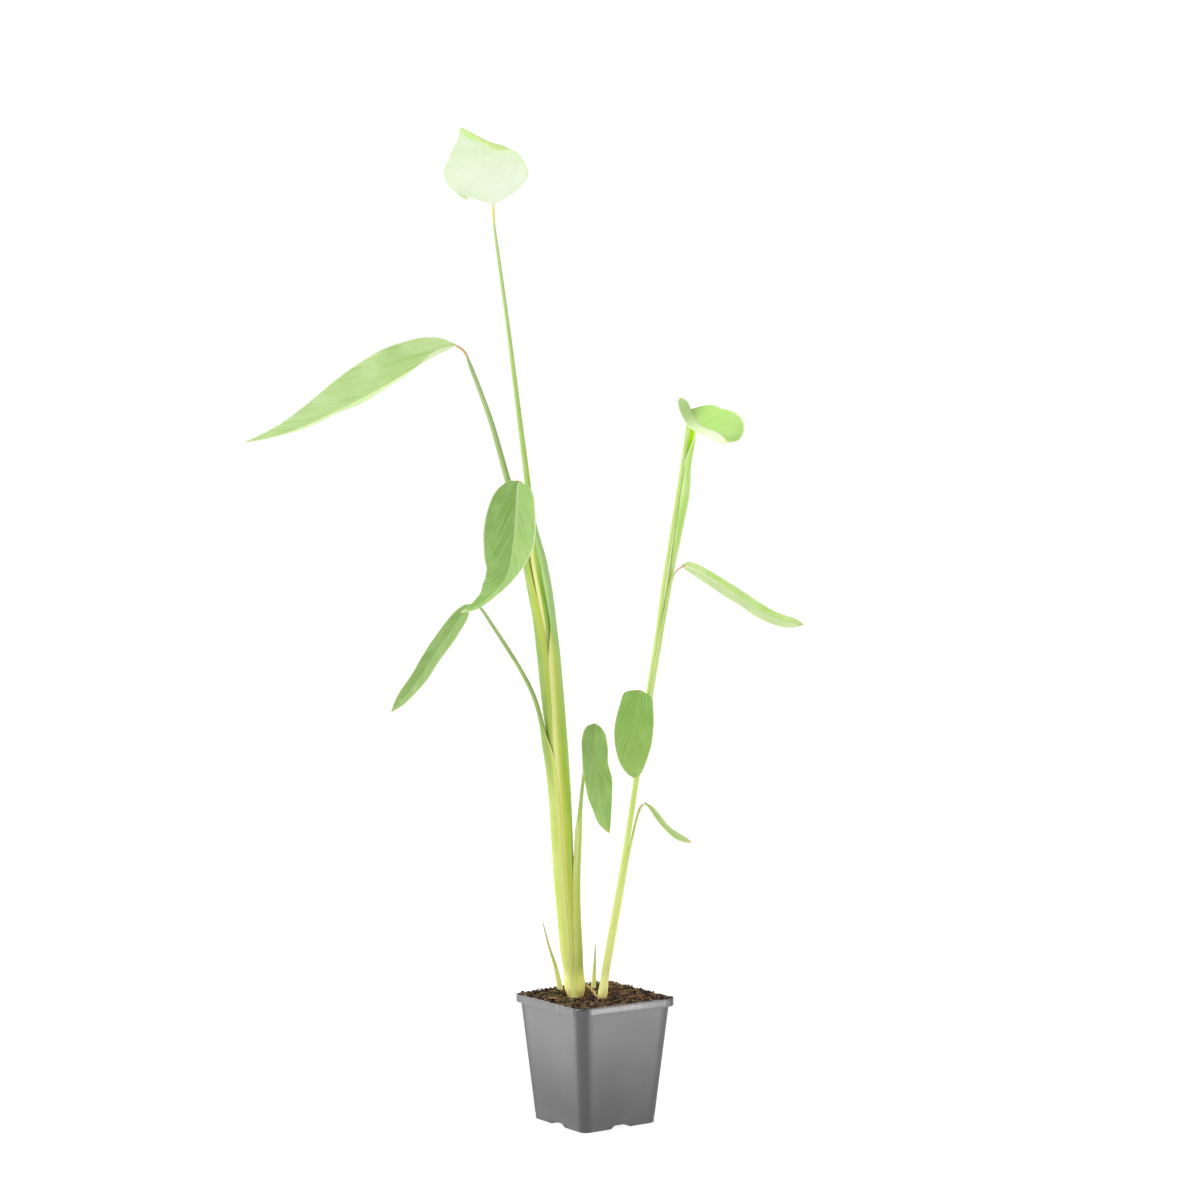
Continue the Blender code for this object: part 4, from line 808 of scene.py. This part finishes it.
# Free stalks: the heights over which a sheath turns into a round stalk, the middle line, and the
# radius by the share of the way along
stalks = dict(
    leaf_b=dict(
        parting=(385, 452),
        route=[(-35.5, 1, 300), (-39.2, 1.5, 330), (-42.5, 2, 358), (-47.0, 3, 390), (-49.9, 4, 412),
               (-53.3, 5, 433), (-58.4, 8, 455), (-64.2, 9, 477), (-71.0, 11, 502), (-78.2, 12, 527),
               (-86.3, 13, 550), (-95.1, 14, 573), (-97.9, 14, 580.5), (-101.6, 13.5, 585),
               (-105.4, 13, 587)],
        width=[(0, 2.9), (0.42, 2.9), (0.7, 2.2), (0.93, 1.6), (0.955, 1.0), (1, 0.9)],
    ),
    leaf_c=dict(
        parting=(345, 408),
        route=[(-25.2, 0, 300), (-28.8, -0.5, 352), (-33.3, -1, 391), (-36.7, -3, 412), (-39.0, -4.5, 424),
               (-41.9, -6.5, 435), (-44.9, -9, 446), (-47.6, -11.5, 458), (-51.3, -15, 470),
               (-54.4, -18, 477.5), (-56.1, -21, 480.8), (-56.6, -23.5, 481.2)],
        width=[(0, 3.0), (0.55, 2.9), (0.8, 2.2), (0.92, 1.4), (1, 1.1)],
    ),
    leaf_d=dict(
        parting=(268, 305),
        route=[(-33.4, 0, 226), (-34.4, -1, 253), (-37.2, -2, 276), (-39.6, -3, 298), (-46.2, -5, 321.5),
               (-57.7, -7, 344), (-72.2, -9, 367), (-79.7, -10, 378.5), (-85.2, -11, 386.6),
               (-88.6, -12, 389.6), (-92.0, -13, 389.4)],
        width=[(0, 1.8), (0.4, 1.8), (0.85, 1.4), (0.93, 1.2), (1, 0.9)],
    ),
    leaf_e=dict(
        parting=(212, 245),
        route=[(-13.6, -1, 164), (-12.7, -2, 190), (-11.6, -4, 216), (-10.1, -7, 243), (-8.0, -9, 262),
               (-5.0, -12, 281), (-1.9, -15, 294.5), (0.0, -18, 299.5), (0.9, -21, 300.2)],
        width=[(0, 2.6), (0.4, 2.0), (0.55, 1.4), (0.85, 1.2), (0.93, 1.2), (1, 0.9)],
    ),
    leaf_h=dict(
        parting=(367, 404),
        route=[(51.1, -4, 367), (54.0, -3.5, 387), (56.5, -3, 401), (58.4, -2.8, 409), (60.7, -2.5, 413.8),
               (63.6, -1.8, 416.9), (65.9, -0.9, 418.3)],
        width=[(0, 1.5), (0.5, 1.6), (0.68, 1.1), (0.8, 0.75), (1, 0.7)],
    ),
    leaf_i=dict(
        parting=(280, 306),
        route=[(32.0, -9.5, 280), (32.6, -12.5, 300), (33.4, -15, 314), (33.9, -17.5, 322),
               (34.0, -20.5, 325.4), (33.9, -22.6, 325.2)],
        width=[(0, 1.4), (0.6, 1.2), (0.85, 1.5), (1, 1.0)],
    ),
    leaf_j=dict(
        parting=(190, 222),
        route=[(23.6, -8, 190), (26.4, -7, 204), (30.2, -5, 222), (33.0, -3.5, 232.5), (34.9, -3, 237),
               (37.0, -2.6, 239.2)],
        width=[(0, 1.2), (0.5, 1.0), (0.8, 0.9), (0.9, 1.2), (1, 0.9)],
    ),
)

# How much closer a sheath's margins lie to the shoot than its middle does
hugs = dict(leaf_c=[(100, 0.4), (285, 0.4), (320, 0.7), (380, 0.7)],
            leaf_d=[(74, 0.6), (185, 0.8), (242, 0.5), (262, 0.8), (290, 1.5)],
            leaf_e=[(95, 0.3), (130, 1.5)])
falls = dict(leaf_b=1.5, leaf_c=1.4)  # how fast its wall thins to the margins, else 3
wraps = dict(leaf_d=[(100, 12), (125, 0)], leaf_e=[(98, 26), (125, 0)],
             leaf_j=[(90, 62), (185, 52), (215, 0)])  # how much further it closes in front

stalkLooks = dict(
    leaf_a=dict(
        # painted shade: the ramp darkens from 300 to 440 mm, where the core lies in shade among the sheaths
        heights=[(74, "#c9c46c"), (140, "#b9c65a"), (300, "#a2b84a"), (340, "#94b23a"), (395, "#98bc3c"),
                 (440, "#a8cc50"), (560, "#aed06c"), (650, "#b8d286"), (725, "#c0d49c")],
        pale="#c6da98", deep="#7fa244", joint="#e4de94", jointFrom=0.972, stripe="#dede90",
        stripeTurn=(0.66, 0.93), stripeHeights=(332, 455),
    ),
    leaf_f=dict(
        heights=[(74, "#b0a04e"), (94, "#dcc07c"), (104, "#f2ee94"), (150, "#dce87e"), (300, "#c0dc6a"),
                 (430, "#c6de78"), (540, "#bede7c")],
        # the stripe is painted light: near-white along the side that faces the rolled leaf, lifting the
        # shade between the two
        pale="#dcee9c", deep="#a6c852", joint="#d0a880", jointFrom=0.985, stripe="#ecf8c4",
        stripeTurn=(0.0, 0.14), stripeHeights=(380, 545),
    ),
    leaf_b=dict(
        heights=[(74, "#c9c46c"), (130, "#b9c65a"), (260, "#9aba4e"), (380, "#94b656"), (440, "#8cae5c"),
                 (510, "#9ab874"), (590, "#aac488")],
        pale="#c4d68c", deep="#7c9e48", flank="#c8d65c", flankWidth=7.5, margin="#ccd468", marginWidth=1.0,
        joint="#dcb474", jointFrom=0.97,
    ),
    leaf_c=dict(
        heights=[(74, "#b0a04e"), (92, "#c4c068"), (104, "#c6cc5c"), (130, "#9cb040"), (180, "#a9c442"),
                 (257, "#a6c646"), (310, "#a6d06a"), (390, "#a2c684"), (490, "#a0c07c")],
        pale="#b8cc6e", deep="#80a23e", flank="#c8ce50", flankWidth=11.0, margin="#dade90", marginWidth=5.6,
        joint="#d6bc88", jointFrom=0.972, narrowFrom=378,
    ),
    leaf_d=dict(
        heights=[(74, "#b89c58"), (97, "#d8c078"), (100, "#f4ee9c"), (108, "#f2f096"), (116, "#d4de72"),
                 (180, "#bed45a"), (240, "#b8ce60"), (285, "#94b254"), (330, "#84a65a"), (395, "#96b474")],
        pale="#dce294", deep="#98b24a", flank="#d6da7e", flankWidth=5.5, margin="#d2dc78", marginWidth=3.4,
        joint="#d2bc94", jointFrom=0.976,
    ),
    leaf_e=dict(
        heights=[(74, "#a88c4c"), (97, "#d0b86c"), (100, "#eee884"), (108, "#e8ea78"), (118, "#b8c656"),
                 (165, "#c0ce5a"), (220, "#b0ca62"), (245, "#94b25c"), (300, "#94b05c")],
        pale="#ccd282", deep="#9aae48", flank="#ccd670", flankWidth=4.5, margin="#d8dc84", marginWidth=1.2,
        # the stripe: the sheath's pale margins, painted near-white as painted light where its inner side
        # lies in shade beside the main shoot
        joint="#cfb070", jointFrom=0.98, stripe="#f6f0c8", stripeWidth=3.6, stripeHeights=(172, 262),
    ),
    leaf_h=dict(
        heights=[(300, "#cfe48a"), (370, "#c4dc7c"), (418, "#c6da86")],
        pale="#dcecaa", deep="#a0c05a", margin="#e0eab0", joint="#ecbca4", jointFrom=0.94,
    ),
    leaf_i=dict(
        heights=[(263, "#c0da6e"), (325, "#b6d066")], pale="#d2e69c", deep="#98b852", margin="#dce4a0",
        joint="#cf8f48", jointFrom=0.95,
    ),
    leaf_j=dict(
        heights=[(74, "#b0a04e"), (94, "#dcc07c"), (104, "#f2ee94"), (150, "#dcea80"), (240, "#c4d87c")],
        pale="#e0ec9c", deep="#a8c456", flank="#d4e27c", flankWidth=3.0, margin="#e2e4a0", joint="#e0d49c",
        jointFrom=0.96,
    ),
)


def crescentRing(centre, start, end, inner, keel, margin=None, facing=None, hug=0.0, fall=3.0):
    # A level crescent: its outer row from start to end, round the margin and back inside. Its
    # wall is keel thick where it faces, and even all round when no margin is given.
    count = tubeShape["halfPoints"]
    margin = keel if margin is None else margin
    facing = (start + end) / 2 if facing is None else facing
    outer, inward = [], []
    for index in range(count):
        angle = start + index * (end - start) / (count - 1)
        reach = end - facing if angle > facing else facing - start
        share = math.cos(math.radians(90 * (angle - facing) / reach))
        wall = margin + (keel - margin) * max(share, 0.0) ** fall
        near = inner - hug * (1 - share ** 2)
        outer.append(centre + levelWay(angle) * (near + wall))
        inward.append(centre + levelWay(angle) * near)
    edges = []
    for side, angle, index in ((-1, start, 0), (1, end, -1)):
        middle = (outer[index] + inward[index]) / 2
        edges.append(middle + levelWay(angle + 90) * (side * tubeShape["marginSwell"]))
    return outer + [edges[1]] + inward[::-1] + [edges[0]]


def roundRings(places, radii, out, sides):
    rings = []
    for place, along, radius in zip(places, directionsAlong(places), radii):
        out = (out - along * out.dot(along)).normalized()
        across = along.cross(out)
        turns = [math.radians(-90 + (index + 1) * 360 / sides) for index in range(sides)]
        rings.append([place + (out * math.cos(turn) + across * math.sin(turn)) * radius
                      for turn in turns])
    return rings


def sheathRing(name, middle, height):
    sheath = sheaths[name]
    start, end, inner, keel = (valueAt(sheath[key], height)
                               for key in ("start", "end", "inner", "keel"))
    wrap = valueAt(wraps[name], height) if name in wraps else 0
    if name == "leaf_d":
        end += wrap
    else:
        start -= wrap
    hug = valueAt(hugs[name], height) if name in hugs else 0
    return crescentRing(pointAtHeight(middle, height), start, end, inner, keel,
                        tubeShape["margin"], sheath["facing"], hug, falls.get(name, 3.0))


def marginInsets(ring):
    # How far each corner of a crescent lies from the nearer margin
    half = len(ring) // 2 - 1
    insets = []
    for index in range(half):
        near = min(index, half - 1 - index)
        end = 0 if index < half / 2 else half - 1
        insets.append((ring[index] - ring[end]).length if near else 0.0)
    return insets + [0.0] + insets[::-1] + [0.0]


def buildCore(route, radius):
    places = curveThrough(route, tubeShape["stalkStep"])
    radii = [valueAt(radius, place.z) for place in places]
    return shapeTube(roundRings(places, radii, Vector((1, 0, 0)), tubeShape["coreSides"]))


def buildStalk(name):
    # A sheath of level crescents up to where it parts, which then turn into the round stalk
    stalk, sheath = stalks[name], sheaths[name]
    middle = middles[sheath["shoot"]]
    low, high = stalk["parting"]
    foot = sheath["start"][0][0]
    steps = max(1, round((low - foot) / tubeShape["sheathStep"]))
    rings = [sheathRing(name, middle, foot + (low - foot) * count / steps)
             for count in range(steps + 1)]
    insets = [marginInsets(ring) for ring in rings]
    places = curveThrough(stalk["route"], tubeShape["stalkStep"])
    radii = [valueAt(stalk["width"], count / (len(places) - 1)) for count in range(len(places))]
    rounds = roundRings(places, radii, levelWay(sheath["facing"]), len(rings[0]))
    for place, ring in zip(places, rounds):
        if place.z < low + tubeShape["firstRound"]:
            continue
        share = ease((place.z - low) / (high - low))
        inset = [tubeShape["farInset"]] * len(ring)
        if share < 1:
            wrapped = sheathRing(name, middle, place.z)
            ring = [first.lerp(second, share) for first, second in zip(wrapped, ring)]
            inset = [gap + tubeShape["insetRise"] * share for gap in marginInsets(wrapped)]
        rings.append(ring)
        insets.append(inset)
    return shapeTube(rings, insets)


middles = {name: curveThrough(shoot["route"], 4.0) for name, shoot in shoots.items()}
cores = dict(leaf_a=shoots["main"], leaf_f=shoots["second"])
for count, name in enumerate(blades):
    shape = buildCore(**cores[name]) if name in cores else buildStalk(name)
    surfaces = [stalkSurface(name + "_stalkSkin", stalkLooks[name], 3.0 + count)]
    finishPiece("stalk_of_" + name, shape, plantPlace, surfaces, name + "_stalk")
    shape, surfaces = buildBlade(name, 23.0 + count)
    finishPiece("blade_of_" + name, shape, plantPlace, surfaces, name + "_blade")
print("leaves ready")


# Young growth

# The rolled leaf: its middle line, its radius by height, its margins' directions, and its wall
rolled = dict(
    route=[(53.2, 0.4, 384), (56.0, 1.0, 402), (57.7, 0.8, 413), (59.4, 0.2, 423), (61.7, 0, 435),
           (63.6, 0, 446), (65.7, 0.2, 457.5), (67.7, 0.5, 469), (69.2, 1, 481), (70.2, 1, 492),
           (71.7, 1, 503), (73.4, 1, 515), (74.8, 1, 526)],
    radius=[(384, 1.2), (404, 1.8), (413, 2.0), (423, 2.3), (435, 2.7), (446, 3.0), (458, 3.4), (469, 3.7),
            (481, 3.5), (492, 2.6), (503, 2.7), (515, 3.0), (526, 3.0)],
    start=[(404, -192), (485, -192), (500, -150), (513, -65), (526, 5)],
    end=[(404, 150), (485, 150), (500, 160), (526, 172)],
    wall=0.7,
)

# The new sprouts and the dry root
sprouts = dict(
    left_sprout=dict(
        route=[(-24.0, 20, 80), (-26.1, 19, 95), (-30.2, 17.5, 114), (-34.9, 16, 129), (-39.4, 14, 147)],
        width=[(0, 1.9), (0.3, 2.1), (0.6, 1.2), (1, 0.35)],
    ),
    middle_sprout=dict(
        route=[(-1.2, 26, 80), (-0.9, 26, 96), (-0.1, 26, 112), (0.5, 26, 129)],
        width=[(0, 1.8), (0.4, 1.9), (0.7, 1.0), (1, 0.35)],
    ),
)
root = dict(
    route=[(-6.3, -1.2, 101.9), (-4.2, -2.4, 100.9), (-2.2, -4.5, 99.3), (0.0, -8, 97.5), (1.2, -13, 96.2),
           (3.2, -16, 95.5), (5.4, -17.8, 94.2)],
    width=[(0, 1.1), (1, 0.715)], sides=12,
)

youngLooks = dict(
    rolled=dict(
        heights=[(404, "#c4dd80"), (450, "#b8dc78"), (490, "#badf7b"), (526, "#b4dc6c")],
        pale="#dcefb0", deep="#9ccb52", margin="#f0f6c4", marginWidth=0.8, fibres=14.0, stripe="#c6f02c",
        stripeTurn=(0.48, 0.96), stripeHeights=(470, 600),
    ),
    sprout=dict(
        heights=[(80, "#e0dc98"), (100, "#d2d676"), (125, "#c0cc6a"), (147, "#aabf60")],
        pale="#e4e8a8", deep="#94ac4c", fibres=9.0,
    ),
)


def buildRolledLeaf():
    rings = []
    wall = rolled["wall"]
    for place in curveThrough(rolled["route"], 3.0):
        start, end, radius = (valueAt(rolled[key], place.z) for key in ("start", "end", "radius"))
        inner = max(radius - wall, wall / 2)
        rings.append(crescentRing(place, start, end, inner, wall))
    return shapeTube(rings, [marginInsets(ring) for ring in rings])


def buildRod(route, width, sides=16):
    places = curveThrough(route, 2.0)
    radii = [valueAt(width, count / (len(places) - 1)) for count in range(len(places))]
    return shapeTube(roundRings(places, radii, Vector((1, 0, 0.2)), sides))


def rootSurface():
    # A thin dry root: tan skin, darker where soil sticks to it, with fine lengthwise wrinkles
    surface, add = newSurface("dryRootSkin", Roughness=0.8)
    turn, length = uvParts(add, "share")[0], uvParts(add, "size")[1]
    grain = noiseAt(add, add(times, turn, 8.0), add(times, length, 1 / 3), 5.0)
    colour = add(mix, add(soft, grain, 0.35, 0.65), "#b08a52", "#dcc08a")
    return dressed(surface, add, colour, grain, 0.6, 0.2)


rolledSkin = stalkSurface("rolledLeafSkin", youngLooks["rolled"], 71.0)
finishPiece("rolled_young_leaf", buildRolledLeaf(), plantPlace, [rolledSkin], "rolled_leaf")
sproutSkin = stalkSurface("sproutSkin", youngLooks["sprout"], 81.0)
for name, sprout in sprouts.items():
    finishPiece(name + "_spear", buildRod(**sprout), plantPlace, [sproutSkin], name)
finishPiece("root_on_soil", buildRod(**root), plantPlace, [rootSurface()], "surface_root")
print("young growth ready")


# Soil

soilLook = dict(
    crumbs=1100, crumbSizes=(0.5, 1.7), reach=43.6,
    fibres=110, fibreLengths=(4, 13), fibreRadius=0.22, fibreReach=40.6, turns=(0, 6.3),
    straw=((-34.5, -18, 95.6), (-28, -23, 95.9), (-21, -28, 95.2)), strawRadius=0.484,
    rough=0.9, roughSize=2.6, cuts=4,
    upward=0.4, facesFrom=88, cornersFrom=90,  # what is on top: how level, and how high
    topHalf=42.5, rim=94, above=130,
    peat=[(0.28, "#15100b"), (0.42, "#2c2117"), (0.55, "#463524"), (0.7, "#6b5236")],
    crumb=[(0.26, "#120d09"), (0.4, "#2a1f16"), (0.52, "#4a3725"), (0.66, "#74604a"),
           (0.78, "#a89070")],
    fibre=[(0.35, "#5e3c20"), (0.48, "#8c5a2e"), (0.58, "#a87c48"), (0.7, "#c8ac78")],
    grit="#68523c", algae="#6d7a2c", algaeAt=(-27, -3, 95),
    # Each shoot's place in the plant's frame, and its room
    feet=((-15, 0, 10.5), (5.2, -9, 6.2), (-26, 19, 3.4), (-0.9, 26, 3.2)),
)


def peatSurface(name, stops):
    # Moist peat: near-black crumbs a few millimetres across beside brown and tan ones, with a
    # green film of algae by the main shoot's left
    surface, add = newSurface(name, Roughness=0.9, Specular_IOR_Level=0.25)
    place = add("TexCoord", out=3)
    wide = add("TexNoise", place, 210.0, 4.0, 0.7)
    close = add("TexNoise", place, 900.0, 3.0)
    tone = add("SeparateColor", add("TexVoronoi", place, 330.0, out=1))
    tone = add(timesAdd, tone, 0.45, add(times, wide, 0.62))
    colour = add("ValToRGB", tone, stops=stops)
    near = add("VectorMath DISTANCE", place, plantPlace @ Vector(soilLook["algaeAt"]))
    algae = add(times, add(soft, near, 16 * mm, 5 * mm, 0.0, 0.5), add(soft, wide, 0.4, 0.6))
    colour = layered(add, colour, [(add(soft, close, 0.55, 0.75, 0.0, 0.6), soilLook["grit"]),
                                   (algae, soilLook["algae"])])
    return dressed(surface, add, colour, add(timesAdd, close, 0.5, wide), 0.9, 1.0)


def fibreSurface():
    # Coir, wood and root fibres in the peat, from rust to straw
    surface, add = newSurface("peatFibre", Roughness=0.8)
    tone = add("TexNoise", add("TexCoord", out=3), 130.0, 1.0)
    return dressed(surface, add, add("ValToRGB", tone, stops=soilLook["fibre"]))


def soilRough(x, y):
    spot = Vector((x, y, 5.0)) / soilLook["roughSize"]
    return soilLook["rough"] * (noise.noise(spot) + 0.5 * noise.noise(spot * 2.3))


def buildSoil():
    # The packed soil, its top cut finer and roughened, but not at its edge
    shape = packedShape("soil")
    shape.normal_update()
    upward = soilLook["upward"]
    top = {face for face in shape.faces if face.normal.z > upward
           and face.calc_center_median().z > soilLook["facesFrom"]}
    edges = [edge for edge in shape.edges if all(face in top for face in edge.link_faces)]
    bmesh.ops.subdivide_edges(shape, edges=edges, cuts=soilLook["cuts"], use_grid_fill=True)
    shape.normal_update()
    for vert in shape.verts:
        if vert.normal.z > upward and vert.co.z > soilLook["cornersFrom"]:
            edge = max(abs(vert.co.x), abs(vert.co.y)) / soilLook["topHalf"]
            vert.co.z += soilRough(vert.co.x, vert.co.y) * ease(12 * (1 - edge))
    bmesh.ops.recalc_face_normals(shape, faces=shape.faces)
    return shape


def soilSpot(chance, tree, reach):
    # A random place on the soil, or on the rim, clear of the shoots
    feet = [(plantTurn @ Vector((x, y, 0)), room) for x, y, room in soilLook["feet"]]
    while True:
        x, y = chance.uniform(-reach, reach), chance.uniform(-reach, reach)
        if any((Vector((x, y, 0)) - foot).length < room for foot, room in feet):
            continue
        spot = tree.ray_cast(Vector((x, y, soilLook["above"])), Vector((0, 0, -1)))[0]
        if spot is None or spot.z < soilLook["cornersFrom"]:
            spot = Vector((x, y, soilLook["rim"]))
        return spot


def buildCrumbs(tree):
    chance = random.Random(7)
    shape = bmesh.new()
    for count in range(soilLook["crumbs"]):
        spot = soilSpot(chance, tree, soilLook["reach"])
        radius = chance.uniform(*soilLook["crumbSizes"]) * chance.uniform(0.7, 1.0)
        made = bmesh.ops.create_icosphere(shape, subdivisions=1, radius=radius)["verts"]
        turn = Matrix.Rotation(chance.uniform(*soilLook["turns"]), 3, (chance.random(), 0.4, 0.3))
        squash = Vector((1, chance.uniform(0.6, 1), chance.uniform(0.45, 0.8)))
        for vert in made:
            rough = 1 + 0.35 * noise.noise(vert.co * 1.7 + spot)
            vert.co = turn @ Vector(part * size * rough for part, size in zip(vert.co, squash))
            vert.co += spot + Vector((0, 0, radius * 0.25))
    return shape


def buildFibres(tree):
    # One straw in front, and short fibres bowed up a little from the soil
    chance = random.Random(11)
    lines = [[plantTurn @ Vector(spot) for spot in soilLook["straw"]]]
    lift = Vector((0, 0, 0.5))
    for count in range(soilLook["fibres"]):
        spot = soilSpot(chance, tree, soilLook["fibreReach"]) + lift
        half = chance.uniform(*soilLook["fibreLengths"]) / 2
        turn = chance.uniform(*soilLook["turns"])
        along = Vector((math.cos(turn), math.sin(turn), chance.uniform(-0.15, 0.35)))
        bend = Vector((-along.y, along.x, chance.uniform(-0.2, 0.6))) * half * 0.35
        lines.append([spot - along * half, spot + bend, spot + along * half])
    shape = bmesh.new()
    for number, line in enumerate(lines):
        places = curveThrough(line, 1.6)
        radius = soilLook["strawRadius"]
        if number:
            radius = soilLook["fibreRadius"] * chance.uniform(0.6, 1.5)
        rings = roundRings(places, [radius] * len(places), Vector((0.2, 0.1, 1)), 4)
        addShape(shape, shapeTube(rings))
    return shape


shape = buildSoil()
topTree = BVHTree.FromBMesh(shape)
peat, crumb = peatSurface("peatSoil", soilLook["peat"]), peatSurface("peatCrumbs", soilLook["crumb"])
finishPiece("soil_block", shape, potPlace, [peat], "soil", 60)
finishPiece("soil_crumbs", buildCrumbs(topTree), potPlace, [crumb], None, 30)
finishPiece("soil_fibres", buildFibres(topTree), potPlace, [fibreSurface()], None, 60)
print("soil ready")


# Pot

potLook = dict(
    shadedCorner="#3a3a3b", litTop="#7c7c7c", low="#4e4e50",  # painted shade at the corners, painted light at the top, painted shade at the base
    corner=(0.7, 0.9),  # where the painted corner shade starts, as the share of the way from a side's middle
    rimFrom=87.8, mark="#a9a8a2",
    # Cuts: half a side's flat width at the base, how far inside it, square to what, how high
    flatHalf=27.8, insets=(0.8, 12.0), wallFacing=(88, 0, -7.3),
    heights=(12, 30, 50, 70, 86, 89.5, 92.5),
)


def plasticSurface():
    # Black nursery-pot plastic: thin injection-moulded polypropylene with a soft sheen under clouds
    # of dust, painted shade that darkens the corners and the walls towards the base, and a glossier
    # rim with water marks running down it
    surface, add = newSurface("potPlastic", IOR=1.5, Specular_IOR_Level=0.75)
    place = add("TexCoord", out=3)
    across, deep, height = add("SeparateXYZ", place).node.outputs
    across, deep = add("Math ABSOLUTE", across), add("Math ABSOLUTE", deep)
    height = add(times, height, 1 / mm)
    turn = add("Math DIVIDE", add("Math MINIMUM", across, deep), add("Math MAXIMUM", across, deep))
    cloud = add("TexNoise", place, 24.0, 3.0)
    marks = add("TexNoise", add("Mapping", place, Scale=(420, 420, 14)), 1.0)
    # painted shade: the walls darken towards the base, under random clouds of dust
    dustAndPaintedShade = add(timesAdd, add(soft, cloud, 0.35, 0.7, -0.5, 0.5), 0.22, add(soft, height, 0.0, 88))
    rim = add(soft, height, potLook["rimFrom"], potLook["rimFrom"] + 0.5)
    stain = add(times, rim, add(soft, marks, 0.52, 0.68, 0.0, 0.3))
    # painted shade: the corners are painted dark
    paintedCornerShade = add(soft, turn, *potLook["corner"], 0.0, 0.85)
    colour = layered(add, add(mix, dustAndPaintedShade, potLook["low"], potLook["litTop"]),
                     [(paintedCornerShade, potLook["shadedCorner"]), (stain, potLook["mark"])])
    gloss = add(timesAdd, rim, add(times, stain, 0.2), add(soft, cloud, 0.3, 0.7, 0.3, 0.4))
    return dressed(surface, add, colour, Roughness=add(timesAdd, rim, -0.18, gloss))


def cutShape(shape, place, normal):
    bmesh.ops.bisect_plane(shape, geom=[*shape.verts, *shape.edges, *shape.faces],
                           plane_co=place, plane_no=normal)


def buildPot():
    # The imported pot, its flat walls cut beside the corners so that they shade flat
    shape = packedShape("pot")
    bmesh.ops.dissolve_limit(shape, angle_limit=math.radians(0.2), verts=shape.verts,
                             edges=shape.edges)
    for side in range(4):
        turn = Matrix.Rotation(math.radians(90 * side), 3, "Z")
        for inset in potLook["insets"]:
            beside = Vector((potLook["flatHalf"] - inset, 0, 0))
            cutShape(shape, turn @ beside, turn @ Vector(potLook["wallFacing"]))
    for height in potLook["heights"]:
        cutShape(shape, (0, 0, height), (0, 0, 1))
    bmesh.ops.triangulate(shape, faces=[face for face in shape.faces if len(face.verts) > 4])
    return shape


finishPiece("nursery_pot", buildPot(), potPlace, [plasticSurface()], "pot", 35)
print("pot ready")
